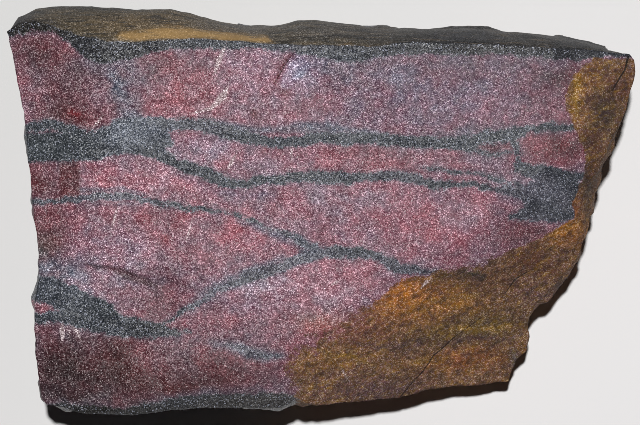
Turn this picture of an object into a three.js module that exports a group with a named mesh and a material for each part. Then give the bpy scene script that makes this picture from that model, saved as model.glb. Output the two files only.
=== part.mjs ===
import * as THREE from 'three';

// A hand specimen of banded ironstone, lying on its back with the broken, banded face up.
// Millimetres, +Z up. X runs along the bands, Y across them. The stone is one closed skin:
// rings drawn over the banded face, down the sides and under the belly, stitched together.

// ---- size and place ----
const HEART = { x: -4, y: 0 };                  // the upright axis that every ring goes round
const FOOTPRINT_SHIFT = { x: 0.05, y: 0.07 };   // puts the middle of the finished outline on the origin
const RIM_STEP = 2.7;                           // longest stretch of edge between two columns of points
const FACE_RINGS = 17;
const BELLY_RINGS = 10;
const SIDE_LEVELS = [0.035, 0.09, 0.16, 0.24, 0.33, 0.43, 0.53, 0.63, 0.73, 0.83, 0.92, 1];

// ---- edge of the banded face, seen from above, anticlockwise from the top left corner ----
// x, y, and where the side swells out below the edge, how far in x and in y
const EDGE = [
  [-63.5, 36], [-62, 30], [-60, 20], [-59, 10], [-58, 1], [-57, -8], [-57, -14], [-58, -19], [-57.8, -28],
  [-56.5, -38], [-55.5, -39.3], [-48, -41], [-38, -41.4], [-30, -40.3], [-24, -39.9], [-8, -40.1],
  [-5, -38.4], [-1, -39.5], [9, -39], [16.5, -38.4], [22, -36.8], [38.7, -35.5], [40, -31], [42.2, -29.3],
  [43, -25.5], [42.2, -22], [44.5, -18.6], [48.5, -14.5], [53, -8.5], [53.6, -5.5, 1, 0],
  [53, -3, 1.7, 0.5], [52.2, 0, 3.5, 0.5], [52.8, 3, 3.3, 0.5], [55.5, 9, 2.1, 0.5], [58, 13.5, 1.8, 0.5],
  [60, 17.5, 1.2, 0.2], [61.3, 20.5], [63.4, 28], [63.2, 30.3], [62, 31.3], [57.7, 31.5],
  [56.6, 31.8, 0.7, 1.5], [53, 32.1, 0.7, 2.2], [47, 32.3, 0.6, 3.1], [40, 32.7, 0.5, 3.4],
  [30, 33.2, 0.4, 3.7], [18, 33.4, 0.2, 3.5], [10, 32.5, 0.1, 4.6], [0, 32.8, 0, 5.8],
  [-5, 32.9, -0.1, 5.9], [-10, 33.2, -0.1, 4.4], [-15, 33.6, -0.2, 3.7], [-22, 34.2, -0.3, 4.6],
  [-30, 34, -0.4, 7.1], [-38, 33.5, -0.5, 7.7], [-43, 33.7, -0.5, 8], [-48.5, 34.8, -0.6, 7.1],
  [-54.5, 37, -0.7, 4.5], [-57.5, 38, -0.7, 3.2], [-61, 37.7, -0.8, 2],
];

// ---- the banded face: planes that meet in soft edges, each with one point and its rise per mm ----
const FACE_PLANES = [
  { x: 0, y: 0, z: 40.6, riseX: 0.004, riseY: 0.045 },        // main face
  { x: -46, y: 0, z: 39.9, riseX: 0.36, riseY: 0.03 },        // falls to the left end
  { x: 50, y: 0, z: 39.8, riseX: -0.36, riseY: 0.02 },        // falls to the right end
  { x: 39, y: -35, z: 16.5, riseX: -0.43, riseY: 0.65 },      // weathered slope at the lower right
  { x: -37, y: -31, z: 38.9, riseX: 0.2, riseY: 0.22 },       // lower left corner
  { x: -30, y: -37.2, z: 38, riseX: -0.05, riseY: 0.9 },      // roll along the lower edge
];
const FACE_EDGE_SOFTNESS = 3.2;
const FACE_ROUGHNESS = [
  { wavelength: 17, height: 0.55 },
  { wavelength: 6.5, height: 0.3 },
];

// steps and hollows of the face, each along a line; a step falls away on its right-hand side
const FACE_STEPS = [
  { line: [[-50, -10.5], [-45.5, -11.2], [-40.6, -11.5], [-38, -12.7], [-31.5, -14.8]],
    drop: 1.3, reach: 11 },
  { line: [[-31.8, -36], [-35.8, -31.6], [-40, -27.6]], drop: 0.8, reach: 9 },
];
const FACE_HOLLOWS = [
  { line: [[-27.6, -11.6], [-33.4, -21.6]], depth: 1.2, width: 3.2 },
];

// ---- the sides ----
const SWELL_DEPTH = 0.36;          // share of the height at which a side is widest
const SWELL_START = 0.6;           // slope angle just below the edge, radians from level
const SWELL_FULL = 3;              // a swelling this wide stays smooth all the way to its widest line
const UNDERCUT = 1.6;              // how far the foot stands back from the widest line
const FOOT_ROUND = { share: 0.13, depth: 2.2 };
const FOOT_HEIGHT = 5;             // rough height of the foot above the ground
const SIDE_ROUGHNESS = [
  { wavelength: 19, height: 0.7 },
  { wavelength: 7.5, height: 0.35 },
];
// shell-shaped scars that meet in ridges: how far apart, how strongly bowed, tilted and stepped
const SIDE_SCARS = { apart: 13, bow: 0.022, tilt: 0.16, step: 0.7 };
const SIDE_CALM = 0.12;            // share of the height over which the roughness grows from the edge
const BREAK_CALM = 0.3;            // and over which the breaks grow

// fracture planes that cut the sides: a point, and the way the plane faces (turn from +X, tilt down)
const SIDE_BREAKS = [
  { x: -60.2, y: 22, z: 20, turn: 189, tilt: 6 },
  { x: -56, y: -22, z: 20, turn: 178, tilt: 7 },
  { x: -56, y: 8, z: 9, turn: 182, tilt: 34 },
  { x: -53.5, y: -26, z: 8, turn: 196, tilt: 28 },
  { x: -61, y: 31, z: 8, turn: 160, tilt: 27 },
  { x: -53.5, y: -37.5, z: 20, turn: 230, tilt: 8 },
  { x: -36, y: -39.6, z: 20, turn: 268, tilt: 7 },
  { x: -12, y: -37.6, z: 20, turn: 274, tilt: 5 },
  { x: 14, y: -36.2, z: 14, turn: 277, tilt: 9 },
  { x: 32, y: -34, z: 9, turn: 275, tilt: 14 },
  { x: -30, y: -36, z: 8, turn: 262, tilt: 35 },
  { x: 4, y: -34.5, z: 7, turn: 281, tilt: 38 },
  { x: 39, y: -29, z: 10, turn: 338, tilt: 10 },
  { x: 42, y: -19.5, z: 12, turn: 320, tilt: 12 },
  { x: 49, y: -10, z: 15, turn: 322, tilt: 9 },
  { x: 53.5, y: 3, z: 18, turn: 352, tilt: 7 },
  { x: 57.6, y: 16, z: 18, turn: 340, tilt: 10 },
  { x: 61.2, y: 27, z: 16, turn: 352, tilt: 9 },
  { x: 52.5, y: 8, z: 8, turn: 346, tilt: 33 },
  { x: 60.5, y: 24, z: 7, turn: 8, tilt: 27 },
  { x: 46, y: 35, z: 16, turn: 84, tilt: 6 },
  { x: 10, y: 36.4, z: 16, turn: 91, tilt: 5 },
  { x: -30, y: 40.4, z: 14, turn: 96, tilt: 9 },
  { x: -20, y: 36.5, z: 7, turn: 88, tilt: 36 },
  { x: 30, y: 33, z: 7, turn: 84, tilt: 30 },
];
const BREAK_SOFTNESS = 0.4;

// ledges along the bands: thin beds that broke off at different depths on the upper and lower sides
const LEDGES = { depth: 1.5, steps: 2.4, alongX: 27, alongZ: 13 };

// ridges where the bands run out on the two ends: y of the band, half its thickness, how far it stands out
const END_RIDGES = [
  { y: 33, half: 3, proud: 0.8 },
  { y: 13, half: 3.2, proud: 1.1 },
  { y: 1.6, half: 1.2, proud: 0.8 },
  { y: -16, half: 5.4, proud: 1 },
  { y: -38, half: 2.4, proud: 0.9 },
];
const RIDGE_SLANT = 0.16;          // the beds lean this much in y for each mm of height
const RIDGE_BLUR = 1.4;

// ---- the belly: level where it rests, planes that rise from there to the foot ----
const BELLY_PLANES = [
  { x: 19, y: 0, riseX: 0.24, riseY: 0.05 },
  { x: -31, y: 0, riseX: -0.21, riseY: -0.04 },
  { x: 0, y: 15, riseX: 0.03, riseY: 0.3 },
  { x: 0, y: -15, riseX: -0.04, riseY: -0.27 },
  { x: 20, y: 16, riseX: 0.21, riseY: 0.26 },
];
const BELLY_SOFTNESS = 2.5;
const BELLY_ROUGHNESS = [
  { wavelength: 15, height: 0.6 },
  { wavelength: 6, height: 0.3 },
];
const BELLY_SCARS = { apart: 15, bow: 0.02, tilt: 0.14, step: 0.8 };

// ---- small sums ----
const mix = (a, b, t) => a + (b - a) * t;
const clamp01 = (t) => Math.min(1, Math.max(0, t));
const smooth = (t) => t * t * (3 - 2 * t);
const ramp = (from, to, value) => smooth(clamp01((value - from) / (to - from)));

function softMin(a, b, softness) {
  const overlap = Math.max(softness - Math.abs(a - b), 0) / softness;
  return Math.min(a, b) - overlap * overlap * softness / 4;
}

const softMax = (a, b, softness) => -softMin(-a, -b, softness);

// ---- roughness: smooth noise over a lattice of whole numbers, between -1 and 1 ----
function latticeValue(i, j, k) {
  let mixed = Math.imul(i, 0x8da6b343) ^ Math.imul(j, 0xd8163841) ^ Math.imul(k, 0xcb1ab31f);
  mixed = Math.imul(mixed ^ (mixed >>> 13), 0x5bd1e995);
  mixed = Math.imul(mixed ^ (mixed >>> 15), 0x27d4eb2f);
  return ((mixed ^ (mixed >>> 14)) >>> 0) / 2147483648 - 1;
}

function noise(x, y, z) {
  const [i, j, k] = [Math.floor(x), Math.floor(y), Math.floor(z)];
  const [u, v, w] = [smooth(x - i), smooth(y - j), smooth(z - k)];
  const alongX = (dj, dk) => mix(latticeValue(i, j + dj, k + dk), latticeValue(i + 1, j + dj, k + dk), u);
  return mix(mix(alongX(0, 0), alongX(1, 0), v), mix(alongX(0, 1), alongX(1, 1), v), w);
}

// octaves of different wavelength, squeezed in y so that they run along the bands
function roughness(octaves, x, y, z, squeeze) {
  return octaves.reduce((sum, { wavelength, height }, index) => {
    const size = 1 / wavelength;
    return sum + height * noise(x * size + 7 * index, y * size * squeeze + 3, z * size + 11 * index);
  }, 0);
}

// the lowest of many bowls round scattered middles, each with its own tilt and step
function scarHeight({ apart, bow, tilt, step }, x, y, z) {
  const [i, j, k] = [Math.floor(x / apart), Math.floor(y / apart), Math.floor(z / apart)];
  let lowest = Infinity;
  for (let n = 0; n < 27; n += 1) {
    const cell = [i + (n % 3) - 1, j + (Math.floor(n / 3) % 3) - 1, k + Math.floor(n / 9) - 1];
    const chance = (draw) => latticeValue(cell[0] + 59 * draw, cell[1] - 83 * draw, cell[2] + 31 * draw);
    const away = [x, y, z].map((value, axis) => value - apart * (cell[axis] + 0.5 + 0.4 * chance(axis + 1)));
    const bowl = bow * (away[0] ** 2 + away[1] ** 2 + away[2] ** 2);
    const lean = tilt * away.reduce((sum, value, axis) => sum + value * chance(axis + 4), 0);
    lowest = Math.min(lowest, bowl + lean + step * chance(7));
  }
  return lowest;
}

// ---- distance to a line of points: how far, on which side, and the share of its length passed ----
function nearestOnLine(line, x, y) {
  let best = { distance: Infinity };
  for (let n = 0; n + 1 < line.length; n += 1) {
    const [[ax, ay], [bx, by]] = [line[n], line[n + 1]];
    const [dx, dy] = [bx - ax, by - ay];
    const t = clamp01(((x - ax) * dx + (y - ay) * dy) / (dx * dx + dy * dy));
    const distance = Math.hypot(x - ax - dx * t, y - ay - dy * t);
    if (distance < best.distance) {
      const right = dy * (x - ax) - dx * (y - ay);
      best = { distance, right, share: (n + t) / (line.length - 1) };
    }
  }
  return best;
}

const fadeAtEnds = (share) => smooth(clamp01(5 * share * (1 - share) + 0.1));

function stepDepth({ line, drop, reach }, x, y) {
  const { distance, right, share } = nearestOnLine(line, x, y);
  const past = right > 0 ? distance : -distance;
  return drop * ramp(-0.7, 0.7, past) * Math.exp(-Math.max(past, 0) / reach) * fadeAtEnds(share);
}

function hollowDepth({ line, depth, width }, x, y) {
  const { distance, share } = nearestOnLine(line, x, y);
  return depth * Math.exp(-((distance / width) ** 2)) * fadeAtEnds(share);
}

// ---- heights of the face and of the belly ----
function planeHeight({ x: atX, y: atY, z = 0, riseX, riseY }, x, y) {
  return z + riseX * (x - atX) + riseY * (y - atY);
}

function faceHeight(x, y) {
  const planes = FACE_PLANES.map((plane) => planeHeight(plane, x, y));
  let height = planes.reduce((a, b) => softMin(a, b, FACE_EDGE_SOFTNESS));
  FACE_STEPS.forEach((step) => { height -= stepDepth(step, x, y); });
  FACE_HOLLOWS.forEach((hollow) => { height -= hollowDepth(hollow, x, y); });
  return height + roughness(FACE_ROUGHNESS, x, y, 0, 1.5);
}

function bellyHeight(x, y) {
  const planes = BELLY_PLANES.map((plane) => planeHeight(plane, x, y));
  const rise = planes.reduce((a, b) => softMax(a, b, BELLY_SOFTNESS));
  const scars = scarHeight(BELLY_SCARS, x, y, 0) * ramp(-1, 2.5, rise);
  return Math.max(0, rise - scars + roughness(BELLY_ROUGHNESS, x, y, 40, 1.5));
}

// ---- the edge as one closed walk of columns, each with its share of the way round ----
function walkEdge() {
  const columns = [];
  let walked = 0;
  EDGE.forEach(([x, y, swellX = 0, swellY = 0], n) => {
    const [nextX, nextY, nextSwellX = 0, nextSwellY = 0] = EDGE[(n + 1) % EDGE.length];
    const length = Math.hypot(nextX - x, nextY - y);
    const pieces = Math.ceil(length / RIM_STEP);
    for (let piece = 0; piece < pieces; piece += 1) {
      const t = piece / pieces;
      columns.push({
        x: mix(x, nextX, t),
        y: mix(y, nextY, t),
        swellX: mix(swellX, nextSwellX, t),
        swellY: mix(swellY, nextSwellY, t),
        walked: walked + length * t,
      });
    }
    walked += length;
  });
  return columns.map((column) => ({ ...column, share: column.walked / walked }));
}

// ---- the sides: what is taken off a point, measured towards the heart ----
function breakDepth(x, y, z, outX, outY) {
  return SIDE_BREAKS.reduce((deepest, plane) => {
    const [turn, tilt] = [plane.turn * Math.PI / 180, plane.tilt * Math.PI / 180];
    const [faceX, faceY, faceZ] = [
      Math.cos(turn) * Math.cos(tilt),
      Math.sin(turn) * Math.cos(tilt),
      -Math.sin(tilt),
    ];
    const beyond = faceX * (x - plane.x) + faceY * (y - plane.y) + faceZ * (z - plane.z);
    const towards = faceX * outX + faceY * outY;
    return towards > 0.2 ? softMax(deepest, beyond / towards, BREAK_SOFTNESS) : deepest;
  }, 0);
}

function ledgeDepth(x, z, outY) {
  const bed = outY > 0 ? 0.5 : 8.5;
  const level = LEDGES.steps * (0.5 + 0.5 * noise(x / LEDGES.alongX, bed, z / LEDGES.alongZ));
  const step = Math.floor(level) + ramp(0.7, 1, level - Math.floor(level));
  return LEDGES.depth * step * ramp(0.5, 0.85, Math.abs(outY));
}

function ridgeHeight(y, z, outX) {
  const bed = y + RIDGE_SLANT * (z - 40);
  const ridges = END_RIDGES.map((ridge) => {
    const inside = ridge.half - Math.abs(bed - ridge.y);
    return ridge.proud * ramp(-RIDGE_BLUR / 2, RIDGE_BLUR / 2, inside);
  });
  return Math.max(...ridges) * ramp(0.5, 0.85, Math.abs(outX));
}

// how far the side swells at a share of the way down: a rounded shoulder, then the undercut
function swell(down) {
  if (down > SWELL_DEPTH) return 1;
  const angle = Math.acos(Math.cos(SWELL_START) * (1 - down / SWELL_DEPTH));
  return (Math.sin(angle) - Math.sin(SWELL_START)) / (1 - Math.sin(SWELL_START));
}

function undercut(down, calmTo) {
  const round = clamp01((down - 1 + FOOT_ROUND.share) / FOOT_ROUND.share);
  return UNDERCUT * Math.max(0, down - calmTo) + FOOT_ROUND.depth * (1 - Math.sqrt(1 - round * round));
}

function sidePoint(column, down) {
  const reach = Math.hypot(column.x - HEART.x, column.y - HEART.y);
  const [outX, outY] = [(column.x - HEART.x) / reach, (column.y - HEART.y) / reach];
  const top = faceHeight(column.x, column.y);
  const z = mix(top, FOOT_HEIGHT, down);
  const x = column.x + column.swellX * swell(down);
  const y = column.y + column.swellY * swell(down);
  const beds = ledgeDepth(x, z, outY) - ridgeHeight(y, z, outX) - scarHeight(SIDE_SCARS, x, y, z);
  const rough = roughness(SIDE_ROUGHNESS, x, y, z, mix(1, 1.9, Math.abs(outX)));
  const calmTo = SWELL_DEPTH * clamp01(Math.hypot(column.swellX, column.swellY) / SWELL_FULL);
  const taken = undercut(down, calmTo)
    + breakDepth(x, y, z, outX, outY) * ramp(calmTo * 0.7, calmTo * 0.7 + BREAK_CALM, down)
    + (beds + rough) * ramp(calmTo, calmTo + SIDE_CALM, down);
  const inward = taken * mix(0.35, 1, clamp01((top - FOOT_HEIGHT) / 30));
  const point = { x: x - outX * inward, y: y - outY * inward, z };
  return down < 1 ? point : { ...point, z: bellyHeight(point.x, point.y) };
}

// ---- rings: points with their share of the way round ----
function sideRing(columns, down) {
  return columns.map((column) => ({ ...sidePoint(column, down), share: column.share }));
}

// a ring shrunk towards the heart, with as many points as its size needs, at the height of the given skin
function innerRing(outer, scale, height) {
  const count = Math.max(6, Math.round(outer.length * scale));
  return Array.from({ length: count }, (_, n) => {
    const share = n / count;
    const after = outer.findIndex((point) => point.share > share);
    const b = after < 0 ? { ...outer[0], share: 1 } : outer[after];
    const a = outer[(after < 0 ? outer.length : after) - 1];
    const t = (share - a.share) / (b.share - a.share);
    const x = mix(HEART.x, mix(a.x, b.x, t), scale);
    const y = mix(HEART.y, mix(a.y, b.y, t), scale);
    return { x, y, z: height(x, y), share };
  });
}

const heartPoint = (height) => [{ ...HEART, z: height(HEART.x, HEART.y), share: 0 }];

function cap(outer, rings, height) {
  const inner = Array.from({ length: rings - 1 }, (_, n) => innerRing(outer, 1 - (n + 1) / rings, height));
  return [...inner, heartPoint(height)];
}

// ---- the skin ----
function allRings() {
  const columns = walkEdge();
  const rim = columns.map((column) => ({ ...column, z: faceHeight(column.x, column.y) }));
  const sides = SIDE_LEVELS.map((down) => sideRing(columns, down));
  const face = cap(rim, FACE_RINGS, faceHeight).reverse();
  const belly = cap(sides.at(-1), BELLY_RINGS, bellyHeight);
  return [...face, rim, ...sides, ...belly];
}

// two rings joined by a strip of triangles, always stepping on along the ring that lags behind
function stitch(triangles, upper, upperFirst, lower, lowerFirst) {
  let [i, j] = [0, 0];
  const at = (ring, first, n) => first + (n % ring.length);
  const shareAt = (ring, n) => (n < ring.length ? ring[n].share : 1);
  const steps = (ring) => (ring.length > 1 ? ring.length : 0);
  while (i < steps(upper) || j < steps(lower)) {
    const a = at(upper, upperFirst, i);
    const b = at(lower, lowerFirst, j);
    const stepUpper = j >= steps(lower)
      || (i < steps(upper) && shareAt(upper, i + 1) <= shareAt(lower, j + 1));
    if (stepUpper) {
      i += 1;
      triangles.push(a, b, at(upper, upperFirst, i));
    } else {
      j += 1;
      triangles.push(a, b, at(lower, lowerFirst, j));
    }
  }
}

function stoneGeometry() {
  const rings = allRings();
  const triangles = [];
  const firsts = [];
  const places = [];
  rings.forEach((ring) => {
    firsts.push(places.length / 3);
    ring.forEach(({ x, y, z }) => places.push(x + FOOTPRINT_SHIFT.x, y + FOOTPRINT_SHIFT.y, z));
  });
  for (let n = 0; n + 1 < rings.length; n += 1) {
    stitch(triangles, rings[n], firsts[n], rings[n + 1], firsts[n + 1]);
  }
  const geometry = new THREE.BufferGeometry();
  geometry.setAttribute('position', new THREE.Float32BufferAttribute(places, 3));
  geometry.setIndex(triangles);
  geometry.computeVertexNormals();
  return geometry;
}

// ---- the stone ----
const jasperAndHematite = new THREE.MeshStandardMaterial({
  color: 0x6d4b50,
  roughness: 0.6,
  metalness: 0.1,
});

const ironstone = new THREE.Mesh(stoneGeometry(), jasperAndHematite);
ironstone.name = 'banded_ironstone';

const specimen = new THREE.Group();
specimen.add(ironstone);

export default specimen;
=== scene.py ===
"""The looks of a banded ironstone hand specimen: red jasper crossed by dark, sparkling hematite.

The stone's fine skin is drawn by the same rings, planes and breaks as its solid, with closer points and
finer relief. Its markings are lines and patches placed in millimetres on the banded face and carried
down into the rock as tilted beds, so that the sides and the underside show where the beds run out.
"""

import itertools
import math

import bpy
import numpy as np
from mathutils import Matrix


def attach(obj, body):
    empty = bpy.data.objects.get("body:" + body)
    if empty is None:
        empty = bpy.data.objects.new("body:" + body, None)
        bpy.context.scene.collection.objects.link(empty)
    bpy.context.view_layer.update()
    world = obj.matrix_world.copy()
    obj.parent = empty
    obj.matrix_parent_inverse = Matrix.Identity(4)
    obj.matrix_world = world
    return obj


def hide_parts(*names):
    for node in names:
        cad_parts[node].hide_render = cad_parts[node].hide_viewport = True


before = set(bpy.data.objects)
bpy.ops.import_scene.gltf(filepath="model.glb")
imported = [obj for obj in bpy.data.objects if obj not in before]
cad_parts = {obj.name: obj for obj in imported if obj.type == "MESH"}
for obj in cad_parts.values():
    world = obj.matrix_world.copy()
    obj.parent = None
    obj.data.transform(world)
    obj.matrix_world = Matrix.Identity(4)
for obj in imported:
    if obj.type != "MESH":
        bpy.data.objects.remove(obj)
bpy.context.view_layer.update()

MM = 0.001
NODE = "banded_ironstone"

# ---- size and place, in millimetres, as in the solid ----
HEART = (-4.0, 0.0)                  # the upright axis that every ring goes round
FOOTPRINT_SHIFT = (0.05, 0.07, 0.0)  # puts the middle of the footprint on the origin
EDGE_STEP = 0.5                      # distance between two columns of points
FACE_RINGS = 126
SIDE_RINGS = 46
BELLY_RINGS = 36

# edge of the banded face, seen from above, anticlockwise from the top left corner:
# x, y, and where the side swells out below the edge, also how far in x and in y
EDGE = [
    (-63.5, 36), (-62, 30), (-60, 20), (-59, 10), (-58, 1), (-57, -8), (-57, -14), (-58, -19), (-57.8, -28),
    (-56.5, -38), (-55.5, -39.3), (-48, -41), (-38, -41.4), (-30, -40.3), (-24, -39.9), (-8, -40.1),
    (-5, -38.4), (-1, -39.5), (9, -39), (16.5, -38.4), (22, -36.8), (38.7, -35.5), (40, -31), (42.2, -29.3),
    (43, -25.5), (42.2, -22), (44.5, -18.6), (48.5, -14.5), (53, -8.5), (53.6, -5.5, 1, 0),
    (53, -3, 1.7, 0.5), (52.2, 0, 3.5, 0.5), (52.8, 3, 3.3, 0.5), (55.5, 9, 2.1, 0.5), (58, 13.5, 1.8, 0.5),
    (60, 17.5, 1.2, 0.2), (61.3, 20.5), (63.4, 28), (63.2, 30.3), (62, 31.3), (57.7, 31.5),
    (56.6, 31.8, 0.7, 1.5), (53, 32.1, 0.7, 2.2), (47, 32.3, 0.6, 3.1), (40, 32.7, 0.5, 3.4),
    (30, 33.2, 0.4, 3.7), (18, 33.4, 0.2, 3.5), (10, 32.5, 0.1, 4.6), (0, 32.8, 0, 5.8),
    (-5, 32.9, -0.1, 5.9), (-10, 33.2, -0.1, 4.4), (-15, 33.6, -0.2, 3.7), (-22, 34.2, -0.3, 4.6),
    (-30, 34, -0.4, 7.1), (-38, 33.5, -0.5, 7.7), (-43, 33.7, -0.5, 8), (-48.5, 34.8, -0.6, 7.1),
    (-54.5, 37, -0.7, 4.5), (-57.5, 38, -0.7, 3.2), (-61, 37.7, -0.8, 2),
]
TOP_EDGE = sorted(point[:2] for point in EDGE if point[1] > 30)   # its upper stretch, from left to right
EDGE_CHIPS = [(2.6, 0.16), (1.1, 0.09)]   # wavelength and depth of the small chips along the edge

# the banded face: planes that meet in soft edges, each a point x, y, z and its rise per mm in x and y
FACE_PLANES = [
    (0, 0, 40.6, 0.004, 0.045),       # main face
    (-46, 0, 39.9, 0.36, 0.03),       # falls to the left end
    (50, 0, 39.8, -0.36, 0.02),       # falls to the right end
    (39, -35, 16.5, -0.43, 0.65),     # weathered slope at the lower right
    (-37, -31, 38.9, 0.2, 0.22),      # lower left corner
    (-30, -37.2, 38, -0.05, 0.9),     # roll along the lower edge
]
FACE_EDGE_SOFTNESS = 3.2
FACE_ROUGHNESS = [(17, 0.55), (6.5, 0.3)]   # wavelength, height
PLAN_SQUEEZE = 1.5                    # roughness is this much finer across the beds than along them

# steps of the face: a line, the drop on its right-hand side, how far the drop reaches, half its blur
FACE_STEPS = [
    ([(-50, -10.5), (-45.5, -11.2), (-40.6, -11.5), (-38, -12.7), (-31.5, -14.8)], 1.5, 11, 0.35),
    ([(-31.8, -36), (-35.8, -31.6), (-40, -27.6)], 0.8, 9, 0.6),
    ([(-9.3, 25.5), (-7.6, 28.8), (-5.8, 31.4)], 0.9, 8, 0.35),
    ([(-34.2, 17.9), (-34.4, 22)], 0.5, 7, 0.5),
    ([(-48.2, 2.8), (-48, 9.4)], 0.6, 6, 0.35),
]
# hollows: a line, depth, width
FACE_HOLLOWS = [([(-29, -13.6), (-33, -21.6)], 1.1, 3)]
# open cracks, and last the dark line along the scarp by the pale facet, which is painted shadow: x, y and
# half the width of the dark line
CRACKS_AND_SCARP_SHADOW = [
    [(16.2, -38.4, 0.08), (18.2, -35.8, 0.04), (20.8, -33, 0.09), (23, -29.6, 0.06), (24.2, -28.7, 0.1),
     (27, -26, 0.04), (33.4, -21.4, 0.02)],
    [(41.8, -12.6, 0.05), (39.5, -14, 0.12), (37.4, -17, 0.05)],
    [(61.8, 31, 0.2), (61.2, 28.4, 0.16), (58.3, 23.8, 0.04)],
    # not a crack: the dark line along the scarp by the pale facet, painted shadow
    [(-5.5, 31.4, 0.01), (-7.3, 28.9, 0.04), (-9.3, 25.4, 0.01)],
]
CRACK_DEPTH = 0.45
CRACK_REACH = 0.65                    # half width of the groove itself, at 1/e of its depth
CRACK_THIN = (0.02, 0.1)              # half widths at which the groove begins and is at its deepest
CRACK_FOOT = 8                        # height at which the grooves have faded out
THREADS_FROM = 14                     # height from which cracks and veins show
FAR_OFF = 9.0                         # stands for any distance from a crack or vein that is too far to show

# the sides, as in the solid
SWELL_DEPTH = 0.36
SWELL_START = 0.6
SWELL_FULL = 3
UNDERCUT = 1.6
FOOT_ROUND_SHARE = 0.13
FOOT_ROUND_DEPTH = 2.2
FOOT_HEIGHT = 5
SIDE_ROUGHNESS = [(19, 0.7), (7.5, 0.35)]
SIDE_SCARS = (13, 0.022, 0.16, 0.7)   # how far apart, how strongly bowed, tilted and stepped
SIDE_SQUEEZE = 1.9                    # on the two ends roughness is this much finer across the beds
SIDE_CALM = 0.12                      # share of the height over which the roughness grows from the edge
BREAK_CALM = 0.3                      # and over which the breaks grow
BREAK_START = 0.7                     # share of the swelling from which the breaks begin
BREAKS_SHOW = (0.8, 1.4)              # and shares of its depth between which they lay the rock bare
THIN_SHARE = 0.35                     # where the stone is thin, only this share is taken off
THICK_FROM = 30                       # height above the foot from which all of it is
# fracture planes: a point x, y, z, and the way the plane faces (turn from +X, tilt down)
SIDE_BREAKS = [
    (-60.2, 22, 20, 189, 6), (-56, -22, 20, 178, 7), (-56, 8, 9, 182, 34), (-53.5, -26, 8, 196, 28),
    (-61, 31, 8, 160, 27), (-53.5, -37.5, 20, 230, 8), (-36, -39.6, 20, 268, 7), (-12, -37.6, 20, 274, 5),
    (14, -36.2, 14, 277, 9), (32, -34, 9, 275, 14), (-30, -36, 8, 262, 35), (4, -34.5, 7, 281, 38),
    (39, -29, 10, 338, 10), (42, -19.5, 12, 320, 12), (49, -10, 15, 322, 9), (53.5, 3, 18, 352, 7),
    (57.6, 16, 18, 340, 10), (61.2, 27, 16, 352, 9), (52.5, 8, 8, 346, 33), (60.5, 24, 7, 8, 27),
    (46, 35, 16, 84, 6), (10, 36.4, 16, 91, 5), (-30, 40.4, 14, 96, 9), (-20, 36.5, 7, 88, 36),
    (30, 33, 7, 84, 30),
]
BREAK_SOFTNESS = 0.4
BREAK_FACING = 0.2                    # planes that face outwards less than this cut nothing off
LEDGE_DEPTH = 1.5
LEDGE_STEPS = 2.4
LEDGE_LEVEL = 0.8                     # share of each step that stays level
LEDGE_SIZE = (27, 13)                 # along X, along Z
LEDGE_SLICES = (0.5, 8.5)             # slices of the noise for the upper and for the lower side
FACING = (0.5, 0.85)                  # how squarely a side faces where ledges or ridges begin, and are full
# ridges where the bands run out on the two ends: y of the band, half its thickness, how far it stands out
END_RIDGES = [(33, 3, 0.8), (13, 3.2, 1.1), (1.6, 1.2, 0.8), (-16, 5.4, 1), (-38, 2.4, 0.9)]
BED_SLANT = 0.16                      # the beds lean this much in y for each mm of height
BED_LEVEL = 40                        # height at which the end ridges lie as listed
RIDGE_BLUR = 1.0

# the belly: level where it rests, planes x, y, rise in x, rise in y that lift from there to the foot
BELLY_PLANES = [
    (19, 0, 0.24, 0.05), (-31, 0, -0.21, -0.04), (0, 15, 0.03, 0.3), (0, -15, -0.04, -0.27),
    (20, 16, 0.21, 0.26),
]
BELLY_SOFTNESS = 2.5
BELLY_ROUGHNESS = [(15, 0.6), (6, 0.3)]
BELLY_SLICE = 40                      # slices of the noise, apart from the face's at 0
CHIP_SLICE = 70
BELLY_SCARS = (15, 0.02, 0.14, 0.8)
SCARRED = (-1, 2.5)                   # rise of the belly at which its scars begin, and are full
LEVEL_UNDER = 0.02                    # what lies lower than this rests and stays flat

# fine relief of the skin, laid on along its own normals
SUGAR_RELIEF = [(3.1, 0.13), (1.5, 0.1), (0.9, 0.07)]   # broken jasper and hematite
SUGAR_ON_CRUST = 0.8                  # share of it that the crust has besides
SUGAR_SHIFT = 40                      # taken from this far along X, so that the two don't match
SUGAR_ON_PARTING = 0.3                # share of it and of the shells left on the smooth parting
HACKLY_SCARS = (5.2, 0.055, 0.22, 0.28)   # small shells on the sides and underside
HACKLY_MEAN = 0.2
HACKLY_PROUD = 0.4                    # the most that a ridge between two shells stands out
HACKLY_FROM = (0.02, 0.15)            # shares of the way down where the shells begin, and are full
CRUST_STREAKS = {"turn": 33, "along": 7.0, "across": 1.7, "height": 0.3}


# ---- small sums ----
def mix(a, b, t):
    return a + (b - a) * t


def ramp(start, end, value):
    t = np.clip((value - start) / (end - start), 0, 1)
    return t * t * (3 - 2 * t)


def soft_min(a, b, softness):
    overlap = np.maximum(softness - np.abs(a - b), 0) / softness
    return np.minimum(a, b) - overlap * overlap * softness / 4


def soft_max(a, b, softness):
    return -soft_min(-a, -b, softness)


def linear(red, green, blue):
    """Linear light from screen values between 0 and 255."""
    screen = np.array([red, green, blue]) / 255
    return np.where(screen <= 0.04045, screen / 12.92, ((screen + 0.055) / 1.055) ** 2.4)


# ---- roughness: smooth noise over a lattice of whole numbers, between -1 and 1 ----
def lattice_value(i, j, k):
    mixed = whole(i) * np.uint32(0x8DA6B343) ^ whole(j) * np.uint32(0xD8163841)
    mixed ^= whole(k) * np.uint32(0xCB1AB31F)
    mixed = (mixed ^ (mixed >> np.uint32(13))) * np.uint32(0x5BD1E995)
    mixed = (mixed ^ (mixed >> np.uint32(15))) * np.uint32(0x27D4EB2F)
    return (mixed ^ (mixed >> np.uint32(14))) / 2147483648 - 1


def whole(value):
    return np.asarray(value).astype(np.int64).astype(np.uint32)


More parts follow.
